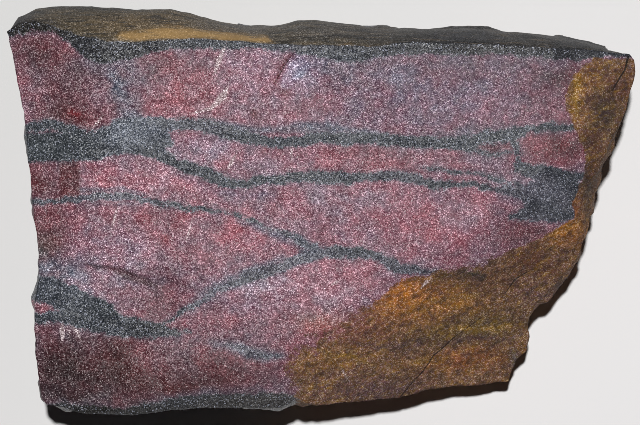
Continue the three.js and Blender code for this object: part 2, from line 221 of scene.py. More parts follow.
def noise(x, y, z):
    x, y, z = np.broadcast_arrays(x, y, z)
    i, j, k = np.floor(x), np.floor(y), np.floor(z)
    u, v, w = (ramp(0, 1, part) for part in (x - i, y - j, z - k))

    def along_x(dj, dk):
        return mix(lattice_value(i, j + dj, k + dk), lattice_value(i + 1, j + dj, k + dk), u)

    return mix(mix(along_x(0, 0), along_x(1, 0), v), mix(along_x(0, 1), along_x(1, 1), v), w)


def roughness(octaves, x, y, z, squeeze):
    """Waves of several lengths, shorter across the beds by the squeeze."""
    total = 0
    for index, (wavelength, height) in enumerate(octaves):
        size = 1 / wavelength
        total = total + height * noise(x * size + 7 * index, y * size * squeeze + 3, z * size + 11 * index)
    return total


def waves(patterns, x, y, z):
    """The sum of patterns: height, sizes along the axes, and offsets that keep one off another."""
    total = 0
    for height, sizes, offsets in patterns:
        place = [part / size + offset for part, size, offset in zip((x, y, z), sizes, offsets)]
        total = total + height * noise(*place)
    return total


def scar_height(scars, x, y, z):
    """The lowest of many bowls round scattered middles, each with its own tilt and step."""
    apart, bow, tilt, step = scars
    place = [np.asarray(value, float) for value in np.broadcast_arrays(x, y, z)]
    home = [np.floor(value / apart) for value in place]
    lowest = np.full(place[0].shape, np.inf)
    for step_to in itertools.product((-1, 0, 1), repeat=3):
        cell = [home[axis] + step_to[axis] for axis in range(3)]

        def chance(draw):
            return lattice_value(cell[0] + 59 * draw, cell[1] - 83 * draw, cell[2] + 31 * draw)

        away = [place[axis] - apart * (cell[axis] + 0.5 + 0.4 * chance(axis + 1)) for axis in range(3)]
        bowl = bow * sum(part * part for part in away)
        lean = tilt * sum(part * chance(axis + 4) for axis, part in enumerate(away))
        lowest = np.minimum(lowest, bowl + lean + step * chance(7))
    return lowest


# ---- distances on the plan of the face ----
def on_stretch(a, b, x, y):
    """The nearest place on a straight stretch, as the share of it passed, and how far off that is."""
    dx, dy = b[0] - a[0], b[1] - a[1]
    t = np.clip(((x - a[0]) * dx + (y - a[1]) * dy) / (dx * dx + dy * dy), 0, 1)
    return t, np.hypot(x - a[0] - dx * t, y - a[1] - dy * t)


def nearest_on_line(line, x, y):
    """How far from a line of points, on which side (right is positive), and the share of it passed."""
    best = np.full(np.shape(x), np.inf)
    right = np.zeros(np.shape(x))
    share = np.zeros(np.shape(x))
    for n, (a, b) in enumerate(zip(line, line[1:])):
        t, distance = on_stretch(a, b, x, y)
        closer = distance < best
        best = np.where(closer, distance, best)
        right = np.where(closer, (b[1] - a[1]) * (x - a[0]) - (b[0] - a[0]) * (y - a[1]), right)
        share = np.where(closer, (n + t) / (len(line) - 1), share)
    return best, right, share


def nearest_thread(threads, x, y):
    """The nearest of several thin lines: how far off, with its side as sign, and its half width there."""
    closest = np.full(np.shape(x), FAR_OFF)
    half = np.zeros(np.shape(x))
    for thread in threads:
        distance, right, share = nearest_on_line(thread, x, y)
        width = np.interp(share, np.linspace(0, 1, len(thread)), [point[2] for point in thread])
        width = np.where((share <= 0) | (share >= 1), 0, width)
        nearer = distance < np.abs(closest)
        closest = np.where(nearer, np.where(right > 0, distance, -distance), closest)
        half = np.where(nearer, width, half)
    return closest, half


def inside_strip(strip, x, y):
    """Depth inside a strip drawn as x, y and half its thickness, negative outside it."""
    deepest = np.full(np.shape(x), -np.inf)
    for a, b in zip(strip, strip[1:]):
        t, distance = on_stretch(a, b, x, y)
        deepest = np.maximum(deepest, mix(a[2], b[2], t) - distance)
    return deepest


def inside_outline(outline, x, y):
    """Depth inside a closed outline, negative outside it."""
    inside = np.zeros(np.shape(x), bool)
    nearest = np.full(np.shape(x), np.inf)
    for a, b in zip(outline, outline[1:] + outline[:1]):
        nearest = np.minimum(nearest, on_stretch(a, b, x, y)[1])
        if a[1] != b[1]:
            level_with = (a[1] > y) != (b[1] > y)
            inside ^= level_with & (x < a[0] + (b[0] - a[0]) * (y - a[1]) / (b[1] - a[1]))
    return np.where(inside, nearest, -nearest)


def fade_at_ends(share):
    """1 along most of a line, less at its two ends."""
    return ramp(0, 1, 5 * share * (1 - share) + 0.1)


# ---- heights of the face and of the belly ----
def face_height(x, y):
    height = None
    for at_x, at_y, z, rise_x, rise_y in FACE_PLANES:
        plane = z + rise_x * (x - at_x) + rise_y * (y - at_y)
        height = plane if height is None else soft_min(height, plane, FACE_EDGE_SOFTNESS)
    for line, drop, reach, blur in FACE_STEPS:
        distance, right, share = nearest_on_line(line, x, y)
        past = np.where(right > 0, distance, -distance)
        step = drop * ramp(-blur, blur, past) * np.exp(-np.maximum(past, 0) / reach)
        height = height - step * fade_at_ends(share)
    for line, depth, width in FACE_HOLLOWS:
        distance, _, share = nearest_on_line(line, x, y)
        height = height - depth * np.exp(-((distance / width) ** 2)) * fade_at_ends(share)
    return height + roughness(FACE_ROUGHNESS, x, y, 0, PLAN_SQUEEZE)


def depth_below_face(x, y, z):
    return np.maximum(face_height(x, y) - z, 0)


def belly_height(x, y):
    rise = None
    for at_x, at_y, rise_x, rise_y in BELLY_PLANES:
        plane = rise_x * (x - at_x) + rise_y * (y - at_y)
        rise = plane if rise is None else soft_max(rise, plane, BELLY_SOFTNESS)
    scars = scar_height(BELLY_SCARS, x, y, 0) * ramp(*SCARRED, rise)
    return np.maximum(0, rise - scars + roughness(BELLY_ROUGHNESS, x, y, BELLY_SLICE, PLAN_SQUEEZE))


# ---- the edge, walked in even steps ----
def walk_edge():
    corners = np.array([(*point, 0, 0)[:4] for point in EDGE + EDGE[:1]], float)
    lengths = np.hypot(*np.diff(corners[:, :2], axis=0).T)
    walked = np.concatenate([[0], np.cumsum(lengths)])
    count = round(walked[-1] / EDGE_STEP)
    share = np.arange(count) / count
    x, y, swell_x, swell_y = (np.interp(share * walked[-1], walked, column) for column in corners.T)
    chips = roughness(EDGE_CHIPS, x, y, CHIP_SLICE, 1)
    out_x, out_y = away_from_heart(x, y)
    return {
        "x": x + out_x * chips, "y": y + out_y * chips,
        "swell_x": swell_x, "swell_y": swell_y, "share": share,
    }


def away_from_heart(x, y):
    reach = np.hypot(x - HEART[0], y - HEART[1])
    return (x - HEART[0]) / reach, (y - HEART[1]) / reach


# ---- the sides: what is taken off a point, measured towards the heart ----
def break_depth(x, y, z, out_x, out_y):
    deepest = np.zeros(np.shape(x))
    for at_x, at_y, at_z, turn, tilt in SIDE_BREAKS:
        turn, tilt = math.radians(turn), math.radians(tilt)
        face_x = math.cos(turn) * math.cos(tilt)
        face_y = math.sin(turn) * math.cos(tilt)
        beyond = face_x * (x - at_x) + face_y * (y - at_y) - math.sin(tilt) * (z - at_z)
        towards = face_x * out_x + face_y * out_y
        cut = soft_max(deepest, beyond / np.maximum(towards, BREAK_FACING), BREAK_SOFTNESS)
        deepest = np.where(towards > BREAK_FACING, cut, deepest)
    return deepest


def ledge_depth(x, z, out_y):
    bed = np.where(out_y > 0, *LEDGE_SLICES)
    level = LEDGE_STEPS * (0.5 + 0.5 * noise(x / LEDGE_SIZE[0], bed, z / LEDGE_SIZE[1]))
    step = np.floor(level) + ramp(LEDGE_LEVEL, 1, level - np.floor(level))
    return LEDGE_DEPTH * step * ramp(*FACING, np.abs(out_y))


def ridge_height(y, z, out_x):
    bed = y + BED_SLANT * (z - BED_LEVEL)
    ridges = [
        proud * ramp(-RIDGE_BLUR / 2, RIDGE_BLUR / 2, half - np.abs(bed - at))
        for at, half, proud in END_RIDGES
    ]
    return np.max(ridges, axis=0) * ramp(*FACING, np.abs(out_x))


def swell(down):
    angle = np.arccos(math.cos(SWELL_START) * (1 - np.minimum(down / SWELL_DEPTH, 1)))
    return (np.sin(angle) - math.sin(SWELL_START)) / (1 - math.sin(SWELL_START))


def undercut(down, calm_to):
    round_off = np.clip((down - 1 + FOOT_ROUND_SHARE) / FOOT_ROUND_SHARE, 0, 1)
    rounded = FOOT_ROUND_DEPTH * (1 - np.sqrt(1 - round_off * round_off))
    return UNDERCUT * np.maximum(0, down - calm_to) + rounded


def side_points(edge, down):
    """Points of all the rings of the sides, one row for each share of the way down."""
    down = down[:, None]
    out_x, out_y = away_from_heart(edge["x"], edge["y"])
    top = face_height(edge["x"], edge["y"])
    z = mix(top, FOOT_HEIGHT, down)
    x = edge["x"] + edge["swell_x"] * swell(down)
    y = edge["y"] + edge["swell_y"] * swell(down)
    beds = ledge_depth(x, z, out_y) - ridge_height(y, z, out_x) - scar_height(SIDE_SCARS, x, y, z)
    rough = roughness(SIDE_ROUGHNESS, x, y, z, mix(1, SIDE_SQUEEZE, np.abs(out_x)))
    calm_to = SWELL_DEPTH * np.clip(np.hypot(edge["swell_x"], edge["swell_y"]) / SWELL_FULL, 0, 1)
    break_from = calm_to * BREAK_START
    taken = (
        undercut(down, calm_to)
        + break_depth(x, y, z, out_x, out_y) * ramp(break_from, break_from + BREAK_CALM, down)
        + (beds + rough) * ramp(calm_to, calm_to + SIDE_CALM, down)
    )
    inward = taken * mix(THIN_SHARE, 1, np.clip((top - FOOT_HEIGHT) / THICK_FROM, 0, 1))
    x = x - out_x * inward
    y = y - out_y * inward
    z[-1] = belly_height(x[-1], y[-1])
    return x, y, z


# ---- the skin: rings over the face, down the sides and under the belly ----
def cap_rings(x, y, share, rings):
    """Rings shrunk towards the heart, from the outermost in, each with as many points as it needs."""
    whole_share = np.append(share, 1)
    whole_x = np.append(x, x[0])
    whole_y = np.append(y, y[0])
    made = []
    for ring in range(1, rings):
        scale = 1 - ring / rings
        count = max(6, round(len(x) * scale))
        at = np.arange(count) / count
        ring_x = mix(HEART[0], np.interp(at, whole_share, whole_x), scale)
        ring_y = mix(HEART[1], np.interp(at, whole_share, whole_y), scale)
        made.append((ring_x, ring_y))
    made.append((np.array(HEART[:1]), np.array(HEART[1:])))
    return made


def stitch(outer_first, outer_count, inner_first, inner_count):
    """Triangles between a ring and the next one in, stepping on along the ring that lags behind."""
    triangles = []
    i = j = 0
    inner_steps = inner_count if inner_count > 1 else 0
    while i < outer_count or j < inner_steps:
        a = outer_first + i % outer_count
        b = inner_first + j % inner_count
        if j >= inner_steps or (i < outer_count and (i + 1) * inner_count <= (j + 1) * outer_count):
            i += 1
            triangles.append((a, outer_first + i % outer_count, b))
        else:
            j += 1
            triangles.append((a, inner_first + j % inner_count, b))
    return triangles


def cap_triangles(edge_first, edge_count, first, rings):
    triangles = []
    outer_first, outer_count = edge_first, edge_count
    for ring_x, _ in rings:
        triangles += stitch(outer_first, outer_count, first, len(ring_x))
        outer_first, outer_count = first, len(ring_x)
        first += len(ring_x)
    return np.array(triangles)


def side_triangles(rows, columns):
    row, column = np.meshgrid(np.arange(rows - 1), np.arange(columns), indexing="ij")
    after = (column + 1) % columns
    a = (row * columns + column).ravel()
    b = (row * columns + after).ravel()
    c = a + columns
    d = b + columns
    return np.concatenate([np.stack([a, c, b], 1), np.stack([b, c, d], 1)])


def build_skin():
    """Places and triangles, and for every point how far down it lies and whether on the rim or the side."""
    edge = walk_edge()
    down = np.linspace(0, 1, SIDE_RINGS)
    side_x, side_y, side_z = side_points(edge, down)
    columns = len(edge["x"])
    face = cap_rings(edge["x"], edge["y"], edge["share"], FACE_RINGS)
    belly = cap_rings(side_x[-1], side_y[-1], edge["share"], BELLY_RINGS)
    face_x, face_y = (np.concatenate([ring[axis] for ring in face]) for axis in (0, 1))
    belly_x, belly_y = (np.concatenate([ring[axis] for ring in belly]) for axis in (0, 1))
    side_count = side_x.size
    x = np.concatenate([side_x.ravel(), face_x, belly_x])
    y = np.concatenate([side_y.ravel(), face_y, belly_y])
    z = np.concatenate([side_z.ravel(), face_height(face_x, face_y), belly_height(belly_x, belly_y)])
    side_faces = side_triangles(SIDE_RINGS, columns)
    face_faces = cap_triangles(0, columns, side_count, face)
    belly_faces = cap_triangles(side_count - columns, columns, side_count + len(face_x), belly)[:, ::-1]
    downs = np.concatenate([np.repeat(down, columns), np.zeros(len(face_x)), np.ones(len(belly_x))])
    return {
        "places": np.stack([x, y, z], 1),
        "parts": {"side": side_faces, "face": face_faces, "belly": belly_faces},
        "triangles": np.concatenate([side_faces, face_faces, belly_faces]),
        "down": downs,
        "rim": np.arange(len(x)) < columns,
        "on_side": (downs > 0) & (downs < 1),
        "columns": columns,
    }


def point_normals(places, triangles):
    a, b, c = (places[triangles[:, corner]] for corner in range(3))
    flat = np.cross(b - a, c - a)
    normals = np.zeros_like(places)
    for corner in range(3):
        for axis in range(3):
            normals[:, axis] += np.bincount(triangles[:, corner], flat[:, axis], len(places))
    return normals / np.linalg.norm(normals, axis=1, keepdims=True)


# ---- markings: lines and patches on the plan of the face, in millimetres ----
# dark hematite bands: x, y and half the thickness
BANDS = {
    "left": [(-62, 12.6, 3), (-50, 12.6, 2.9), (-45, 13, 2.8), (-40, 14.8, 3.6), (-36.5, 15, 3.6),
             (-33, 14.4, 2.9), (-30.8, 14, 1.2)],
    "left top": [(-61, 16.6, 0.8), (-54, 17.2, 1.2), (-48, 15.4, 0.8)],
    "upper": [(-38, 17.5, 1), (-31, 17, 1.3), (-24, 17, 1.2), (-20, 16, 1.5), (-14.5, 14.3, 1.2),
              (-9.5, 13.3, 0.9), (-5, 13.5, 1.1), (0, 14.6, 1.1), (5, 14.1, 1.3), (10.5, 14.4, 1),
              (16, 13.7, 1.2), (29.5, 13.3, 1.4), (33, 14.5, 1.2), (38.6, 14.8, 1.1)],
    "upper right": [(38.6, 15.2, 0.9), (41.5, 16.4, 0.7), (54, 16.7, 0.7)],
    "behind the island": [(38.2, 14.4, 0.7), (39.2, 12, 0.55), (39.8, 8.8, 0.7)],
    "under the island": [(29, 12, 0.3), (34, 11, 0.4), (38, 11.6, 0.3)],
    "middle": [(-38.5, 12, 1.2), (-34, 12, 1.4), (-29, 9.4, 1.2), (-20, 5.9, 1.2), (-15, 5.2, 0.9),
               (-10, 6.3, 0.9), (-5, 6.7, 1), (0, 6.5, 1.2), (5, 6.3, 1.1), (15, 6.8, 0.8), (19, 6.2, 1),
               (22.5, 5, 0.8), (30, 5, 0.6), (34, 4.5, 0.5), (38.4, 3.9, 1.1)],
    "thin": [(19.6, 8.3, 0.12), (26, 7.8, 0.4), (31, 7.3, 0.3), (39, 5.2, 0.5)],
    "knot top": [(39.5, 8.6, 1), (42.5, 7.6, 1.6), (46, 6.4, 2.2), (50, 6.2, 1.6), (53.5, 7, 0.7)],
    "knot middle": [(39, 4, 1.3), (44, 2.6, 3.3), (48, 2.6, 3.3), (52.4, 3.8, 1.2)],
    "knot foot": [(38.6, -1.4, 0.6), (42, -0.5, 1.7), (47.5, -0.4, 2.3), (50, -0.6, 1.3)],
    "lower left": [(-62, 1.4, 0.45), (-50, 1.8, 0.5), (-44, 3, 0.8), (-39, 2.9, 0.75), (-33, 1.7, 0.45),
                   (-27.5, 0.2, 0.6), (-20, 0, 0.35), (-15, -1.7, 0.25), (-9.5, -3.5, 0.3), (-4, -6.2, 0.7),
                   (-1.6, -7.5, 0.8)],
    "rising": [(-32, -22.6, 0.3), (-27, -19.6, 0.55), (-22, -17.2, 0.8), (-17.5, -14.4, 0.75),
               (-13.5, -12.9, 1.25), (-7, -11.1, 1.25), (-2.5, -8.8, 1.3), (4.5, -8.3, 1.2), (10, -9, 1),
               (15.5, -11.4, 1.3), (19.5, -12.1, 0.7), (24, -12.5, 0.2)],
    "wedge": [(-62, -15.4, 2.7), (-54.5, -16, 2.6), (-50, -19, 3.2), (-44.5, -21.4, 3.2), (-40, -23.4, 2.2),
              (-33, -24.1, 1.5), (-26.4, -24.8, 0.2)],
    "wedge foot": [(-62, -21.8, 1), (-53, -21.5, 1.1), (-48.5, -22.3, 1.8)],
    "lens": [(-19.5, -27, 0.15), (-15, -28.4, 0.8), (-12, -29.1, 0.6), (-7.6, -29.4, 0.1)],
}
# the beds along the two long edges: where the top one begins, and where the bottom one does
TOP_BED = [(-66, 35), (-58, 35.8), (-54, 35.8), (-48, 30.8), (-43, 29), (-37, 30.4), (-30, 32), (-21, 32.4),
           (-6, 31.5), (0.5, 30.2), (6, 29.4), (15, 31), (36, 31), (46, 30), (66, 31)]
BOTTOM_BED = [(-66, -41.5), (-56, -39.4), (-52, -38.7), (-40, -39.9), (-31, -38.2), (-24, -37), (-8, -36.9),
              (0, -39.4), (66, -42)]
# the weathered crust: its edge across the face from the right end round to the lower side
CRUST_OUTLINE = [
    (90, 30.2), (60, 30.5), (54.5, 30.6), (50.5, 27), (48.4, 22), (50.5, 16.5), (53, 11), (52.8, 7),
    (50.6, 1.5), (51.2, -1.6), (47.8, -3.7), (44, -6), (37.5, -8.2), (31.5, -11.4), (23.5, -12.1),
    (20.5, -13.3), (16, -13.7), (12.5, -17.2), (8, -20), (2.5, -23.7), (0, -26), (-5.5, -28.8), (-6.7, -33),
    (-5, -39.3), (-3, -80), (90, -80),
]
# where the crust comes in slowly: x, y, reach in x and y, how much
CRUST_BLUR = [(3.4, -24.6, 8, 5, 5.5), (30, -12, 8, 3, 1.2), (-3, -32, 6, 7, 3.4), (14, -16, 4, 2, 0.4)]
# pale quartz veins and spots: x, y, half thickness
VEINS = [
    [(-19.4, 32.3, 0.2), (-20.4, 30, 0.5), (-21.3, 27.3, 0.1)],
    [(-18.8, 24.4, 0.2), (-19.6, 22.8, 0.7), (-22, 20.3, 0.3), (-25.4, 19.4, 0.1)],
    [(-17.2, 10.9, 0.1), (-17.9, 9.6, 0.3), (-18.8, 8.2, 0.12)],
    [(-6, 12.2, 0.2), (-6, 10.2, 0.1)],
    [(-45.3, 17, 0.16), (-44, 18.4, 0.1)],
    [(-41, 0, 0.02), (-41.4, -1.8, 0.16), (-42, -3.8, 0.06)],
    [(-52.3, -23, 0.1), (-52.2, -24.2, 0.4), (-52.2, -26.2, 0.15)],
    [(-50.4, -23.2, 0.02), (-49.2, -24.4, 0.35), (-48.6, -26, 0.05)],
    [(-25.8, -2, 0.02), (-27, -6, 0.1)],
    [(2, -15, 0.12), (3.3, -14.3, 0.25)],
    [(20.2, -15.4, 0.1), (21.4, -14.2, 0.25)],
    [(4.4, -32.8, 0.05), (5.4, -34.4, 0.1)],
]

# ---- tones, as screen values ----
ROSE = (143, 110, 120)
CRIMSON = (147, 102, 108)
RED = (141, 94, 101)
PINK = (164, 123, 132)
CORAL = (160, 107, 116)
PALE = (151, 124, 136)
LILAC = (122, 103, 116)
SLATE = (107, 107, 117)
# the pale facet right of the scarp: painted highlight
PAINTED_FACET_HIGHLIGHT = (158, 147, 164)
PALE_LILAC = (160, 143, 154)
OLIVE_GREY = (98, 88, 84)
DUSK = (108, 94, 104)
MULBERRY = (104, 72, 76)
UMBER = (88, 71, 76)
MAROON = (98, 57, 59)
WINE = (78, 46, 45)
PLUM = (53, 34, 36)
SOOT = (46, 38, 40)
BLOOD = (150, 56, 62)
WARM = (160, 114, 102)
IRON = (79, 82, 89)
STEEL = (86, 91, 96)
BLUE_STEEL = (121, 127, 139)
PALE_IRON = (118, 114, 125)
DIM_IRON = (68, 68, 72)
BED_GREY = (90, 87, 86)
BLACK_IRON = (52, 49, 46)
RUST = (120, 95, 73)
ORANGE = (158, 98, 58)
RED_RUST = (124, 80, 50)
YELLOW = (142, 114, 56)
OLIVE = (98, 84, 58)
DARK_OLIVE = (70, 61, 50)
OCHRE = (160, 118, 62)
BROWN = (86, 61, 47)
RED_BROWN = (112, 78, 66)
PURPLE_BROWN = (94, 76, 74)
GREY_GREEN = (122, 116, 104)
GREEN_IRON = (62, 62, 56)
SKIN = (86, 78, 65)
SKIN_PALE = (112, 96, 74)
SKIN_DARK = (40, 40, 45)
SKIN_GREY = (104, 98, 92)
# near black: dark mottles of the skin, and painted shade along the outer edge of the upper side
SKIN_BLACK_AND_SHADE = (38, 38, 38)

# how far the edges of the patches wander, in what waves, and the slices of the noise for x and y
PAINT_WANDER = 1.7
PAINT_WAVES = 7
PAINT_SLICES = (7, 17)
# patches: tone, middle x and y, reach in x and y, strength
JASPER_PATCHES = [
    # upper bed, from left to right
    (MAROON, -57.5, 32, 6.5, 5, 0.9), (UMBER, -57.5, 31.4, 6, 4, 0.45), (MAROON, -50, 19.6, 9, 6.5, 1),
    (UMBER, -50, 27.6, 8, 3.4, 0.9), (WINE, -48, 21, 5, 4, 0.3), (DUSK, -40.6, 25, 6.5, 9, 0.95),
    (RED, -27.4, 28, 7, 4.4, 0.7), (MULBERRY, -29, 29.4, 7, 2.8, 0.6), (UMBER, -33.4, 28, 3, 3.4, 0.5),
    (SLATE, -35.6, 23, 2.2, 4, 0.8), (RED, -45, 24, 3, 3, 0.35), (CRIMSON, -26.4, 21.6, 7, 4.4, 0.9),
    (PALE, -13, 25, 6.5, 7, 0.9), (SLATE, 4.6, 29, 9, 4.2, 1), (SLATE, -3, 29, 3, 2, 0.6),
    (LILAC, 1.6, 20.4, 10, 5, 0.5), (CRIMSON, -8, 20.6, 12, 3.4, 0.5), (SLATE, 6, 27.6, 10, 2.4, 0.6),
    (PALE, -13, 30.4, 7, 2.4, 0.85), (PALE, -2, 12.4, 5, 1.4, 0.6), (LILAC, 19.6, 23.6, 13, 8.5, 1),
    (LILAC, 34, 24, 10, 8, 1), (DUSK, 30, 28, 15, 4, 0.7), (MULBERRY, 43.6, 20, 6, 3.4, 0.5),
    (UMBER, 47, 26.8, 6, 4, 0.8), (WINE, 47.4, 27.4, 4, 2.2, 0.4),
    # between the upper and the middle bands
    (PALE, -22.4, 13, 7, 3, 1), (RED, 9, 10.2, 7.6, 3, 1), (MULBERRY, 18, 10.6, 7, 2.6, 0.4),
    (MULBERRY, 33.6, 12.6, 6, 1.8, 0.9), (MAROON, 46, 12.6, 6.6, 3.4, 1), (WINE, 50.8, 12, 2, 3.4, 0.6),
    (CRIMSON, 42, 12.4, 2.6, 2, 0.8),
    # between the middle and the rising bands
    (PINK, -41.4, 5.6, 9, 3.4, 1), (PINK, -31, 5.4, 7, 4, 1), (MAROON, -57, 5.6, 6.8, 4.4, 0.9),
    (CRIMSON, -18, -4.4, 9, 5, 0.6), (RED, 24, -3, 10, 7, 0.3), (CORAL, 22, -5, 12, 3.6, 0.8),
    (CORAL, -17, -5, 10, 2.6, 0.8), (CORAL, 38, -5.4, 5, 2.4, 0.6), (LILAC, 24, 2.6, 9, 1.6, 0.5),
    (PINK, 32, -1, 5, 3, 0.6), (DUSK, 38, 0, 4, 5.4, 0.4), (DUSK, 34, 8.4, 4, 2, 0.6),
    (MAROON, 42.5, -5.4, 7, 2.6, 0.8), (RED, -31, -3, 6, 5, 0.8), (RED, -40, -1.6, 9, 2.4, 0.8),
    (PALE, -43, -7, 8.6, 3.6, 0.8), (MAROON, -58, -3.6, 6, 6, 0.8), (MAROON, -52, -2.6, 3, 5, 0.5),
    # the mulberry patch on the next line, at the head of the hollow in the face, is painted shade
    (OLIVE_GREY, -56.6, -7.4, 4.4, 3, 0.85), (MULBERRY, -26.6, -11, 5, 3.4, 0.3),
    (LILAC, 3.4, -5.4, 6, 1.6, 0.6), (DUSK, -34, -13, 9, 2.4, 0.6), (DUSK, -4, 10.6, 5, 2, 0.3),
    # under the ledge and between the rising band and the wedge
    (PALE_LILAC, -43, -14, 7, 3.4, 0.7), (PINK, -55.4, -19.2, 3, 1, 0.9), (DUSK, -40, -17.4, 6, 4, 0.5),
    # the two mulberry patches on the next line lie along the hollow in the face: painted shade
    (MULBERRY, -31, -17.4, 4.4, 4, 0.7), (MULBERRY, -33.4, -21, 3, 1.6, 0.6),
    (SLATE, -22, -21, 4.4, 2.2, 0.6), (PALE_LILAC, -10.4, -15.2, 8, 2, 1), (PINK, -0.4, -15.4, 7.6, 4.6, 1),
    (PALE, -14, -19.6, 6, 2, 0.8), (RED, -17, -23, 9, 2, 0.5), (DUSK, -54, -12.6, 7, 3, 0.9),
    (DUSK, -54.6, -22.6, 4, 1, 0.3),
    # lower left corner
    (PLUM, -52, -31.5, 10, 8.6, 1), (WINE, -38.6, -31.4, 8, 8, 1), (MULBERRY, -20.4, -31.6, 17, 7, 0.95),
    (SOOT, -49, -33.8, 7, 1.8, 0.85), (SOOT, -50, -37.4, 9, 1.8, 0.8), (WINE, -30, -35.4, 12, 2, 0.8),
    (PLUM, -41, -32.6, 4.6, 5, 0.6), (PLUM, -56, -33, 4, 8, 0.5), (UMBER, -37, -38.6, 9, 2.2, 0.9),
    (WINE, -42, -30.6, 3.4, 4, 0.6), (CRIMSON, -35.6, -29, 3, 3, 0.4), (DUSK, -15, -26.4, 8, 2.2, 0.6),
    (WINE, -24, -34, 14, 3, 0.4), (PINK, 3, -19.6, 5, 2.4, 0.8), (WARM, 0.4, -22.8, 6, 2.6, 0.7),
    # blood-red spots
    (BLOOD, -48.6, 19.2, 1.1, 0.8, 0.6), (BLOOD, -31.6, -5.2, 1.1, 0.9, 0.6),
    (BLOOD, -11, 11.4, 0.9, 0.8, 0.4), (MAROON, -13, 18.6, 1, 1.4, 0.9),
    (MULBERRY, -8.2, 23.2, 1, 0.7, 0.8),
]
# pale or greyish streaks in the jasper, mostly beside the bands:
# tone, strength, blur, and a strip as x, y and half its thickness
JASPER_STREAKS = [
    (DUSK, 0.9, 1.4, [(-47, 30, 1), (-43.6, 28.6, 1.2), (-41, 26, 1.2)]),
    (SLATE, 0.9, 1.2, [(-41.6, 27, 1), (-39.6, 22, 1.2), (-38, 19, 1.8)]),
    (SLATE, 0.95, 0.8, [(-19, 17, 0.6), (-14.4, 16, 0.8), (-9.4, 15.8, 0.8), (-4.4, 16.4, 1.2),
                        (1.6, 16.4, 1), (6.6, 15.8, 0.6), (12.6, 15.2, 0.3)]),
    (DUSK, 0.8, 1, [(18, 15.6, 0.4), (26, 15.6, 0.8), (33, 16.4, 1), (38, 16.4, 0.8)]),
    (PALE_IRON, 0.9, 0.5, [(-53, 3.6, 0.2), (-47.4, 3.9, 0.4), (-43.4, 4.3, 0.5), (-39.4, 4.2, 0.4),
                           (-35.4, 3.2, 0.2)]),
    (PALE_IRON, 0.7, 0.5, [(-44.4, 1.4, 0.3), (-39.4, 1.4, 0.3), (-35.4, 1, 0.2)]),
    (PALE_IRON, 0.75, 0.7, [(-17, -2, 0.3), (-13.4, -3, 0.7), (-10.4, -4.2, 0.9), (-6.4, -5.8, 1.3),
                            (-3.4, -7.2, 1.4)]),
    (PALE_IRON, 0.7, 0.7, [(-26, -18, 0.4), (-20, -14.6, 0.5), (-14, -11.6, 0.6), (-8, -9.6, 0.6)]),
    (SLATE, 0.8, 1, [(-60, -11.4, 1), (-54, -11.8, 1.4), (-50.5, -12.6, 0.8)]),
    (PALE_LILAC, 0.5, 1, [(-55, -12.6, 0.8), (-49.6, -14.2, 1), (-44.6, -17.4, 1), (-41, -20, 0.6),
                          (-38.6, -21.4, 0.3)]),
    (SLATE, 0.85, 1.3, [(-22, -26.6, 0.3), (-16.6, -27.8, 1), (-12, -28.9, 1.3), (-8, -29.2, 0.7)]),
    (DUSK, 0.7, 1.5, [(12, 29.8, 0.8), (30, 29.6, 1), (48, 29, 1)]),
    (DUSK, 0.7, 1.2, [(-34, -38.4, 0.3), (-22, -36.4, 0.9), (-10, -36.2, 0.9), (-6, -36.8, 0.4)]),
    (LILAC, 0.7, 1, [(-28, 7, 0.4), (-22, 4, 0.8), (-16, 3, 1), (-10, 3, 0.8)]),
]
# the same without the wander of the beds, so that they lie on the steps and facets of the face: a pale facet
# with a dark line along its scarp, a darker block beside a step, and a pale lip over a dark strip along the
# ledge; the pale ones are painted highlight, the dark lines and the strip painted shadow
FACE_LINES = [
    # the pale facet right of the scarp, lightest along its edge: painted highlight
    (PAINTED_FACET_HIGHLIGHT, 0.6, 2.6, [(-1.2, 29.6, 1.8), (-3.6, 26, 1.8)]),
    (PAINTED_FACET_HIGHLIGHT, 0.9, 0.8, [(-4.2, 31.2, 0.9), (-4.8, 28.8, 2), (-6.8, 25.8, 1.4)]),
    # the dark line along the scarp: painted shadow
    (MAROON, 0.9, 0.16, [(-5.9, 31.5, 0.1), (-7.7, 28.9, 0.24), (-9.3, 25.5, 0.18)]),
    (MAROON, 0.9, 0.3, [(-50.6, 9.2, 2.1), (-50.4, 3.4, 2.1)]),
    # the ledge's pale upper lip: painted highlight
    (PALE, 0.7, 0.2, [(-49.6, -10.2, 0.05), (-45.6, -10.5, 0.16), (-40.8, -11, 0.2), (-37.6, -12.1, 0.2),
                      (-33, -14, 0.05)]),
    # the dark strip just below the ledge: painted shadow
    (WINE, 0.7, 0.4, [(-47, -11.3, 0.05), (-42, -11.9, 0.4), (-38.6, -13.2, 0.9), (-35.2, -14.5, 0.6),
                      (-31.6, -15.6, 0.1)]),
]
# streaks of the crust: the dark bed where it runs on below, and yellow and purple-brown ones
RUST_STREAKS = [
    (GREEN_IRON, 0.8, 0.5, [(28.4, -12.2, 0.3), (30.4, -12.9, 0.8), (32.6, -13.8, 0.4)]),
    (GREEN_IRON, 0.5, 0.6, [(15, -11.8, 0.6), (19.6, -12.2, 0.6), (23, -12.6, 0.2)]),
    (YELLOW, 0.7, 0.5, [(-0.6, -28.2, 0.2), (6, -29.6, 0.4), (11, -31.8, 0.3)]),
    (YELLOW, 0.6, 0.5, [(22, -25.4, 0.2), (29, -23.8, 0.4), (35, -24.4, 0.4), (41, -23, 0.2)]),
    (YELLOW, 0.6, 0.5, [(17, -20.8, 0.2), (23, -18.4, 0.4), (31, -17.4, 0.3)]),
    (PURPLE_BROWN, 0.7, 0.6, [(24, -27.2, 0.3), (31, -26, 0.6), (37, -26.8, 0.5), (42, -25.6, 0.3)]),
    (PURPLE_BROWN, 0.6, 0.6, [(6, -26.8, 0.4), (13, -27.8, 0.6), (19, -27.2, 0.4)]),
]
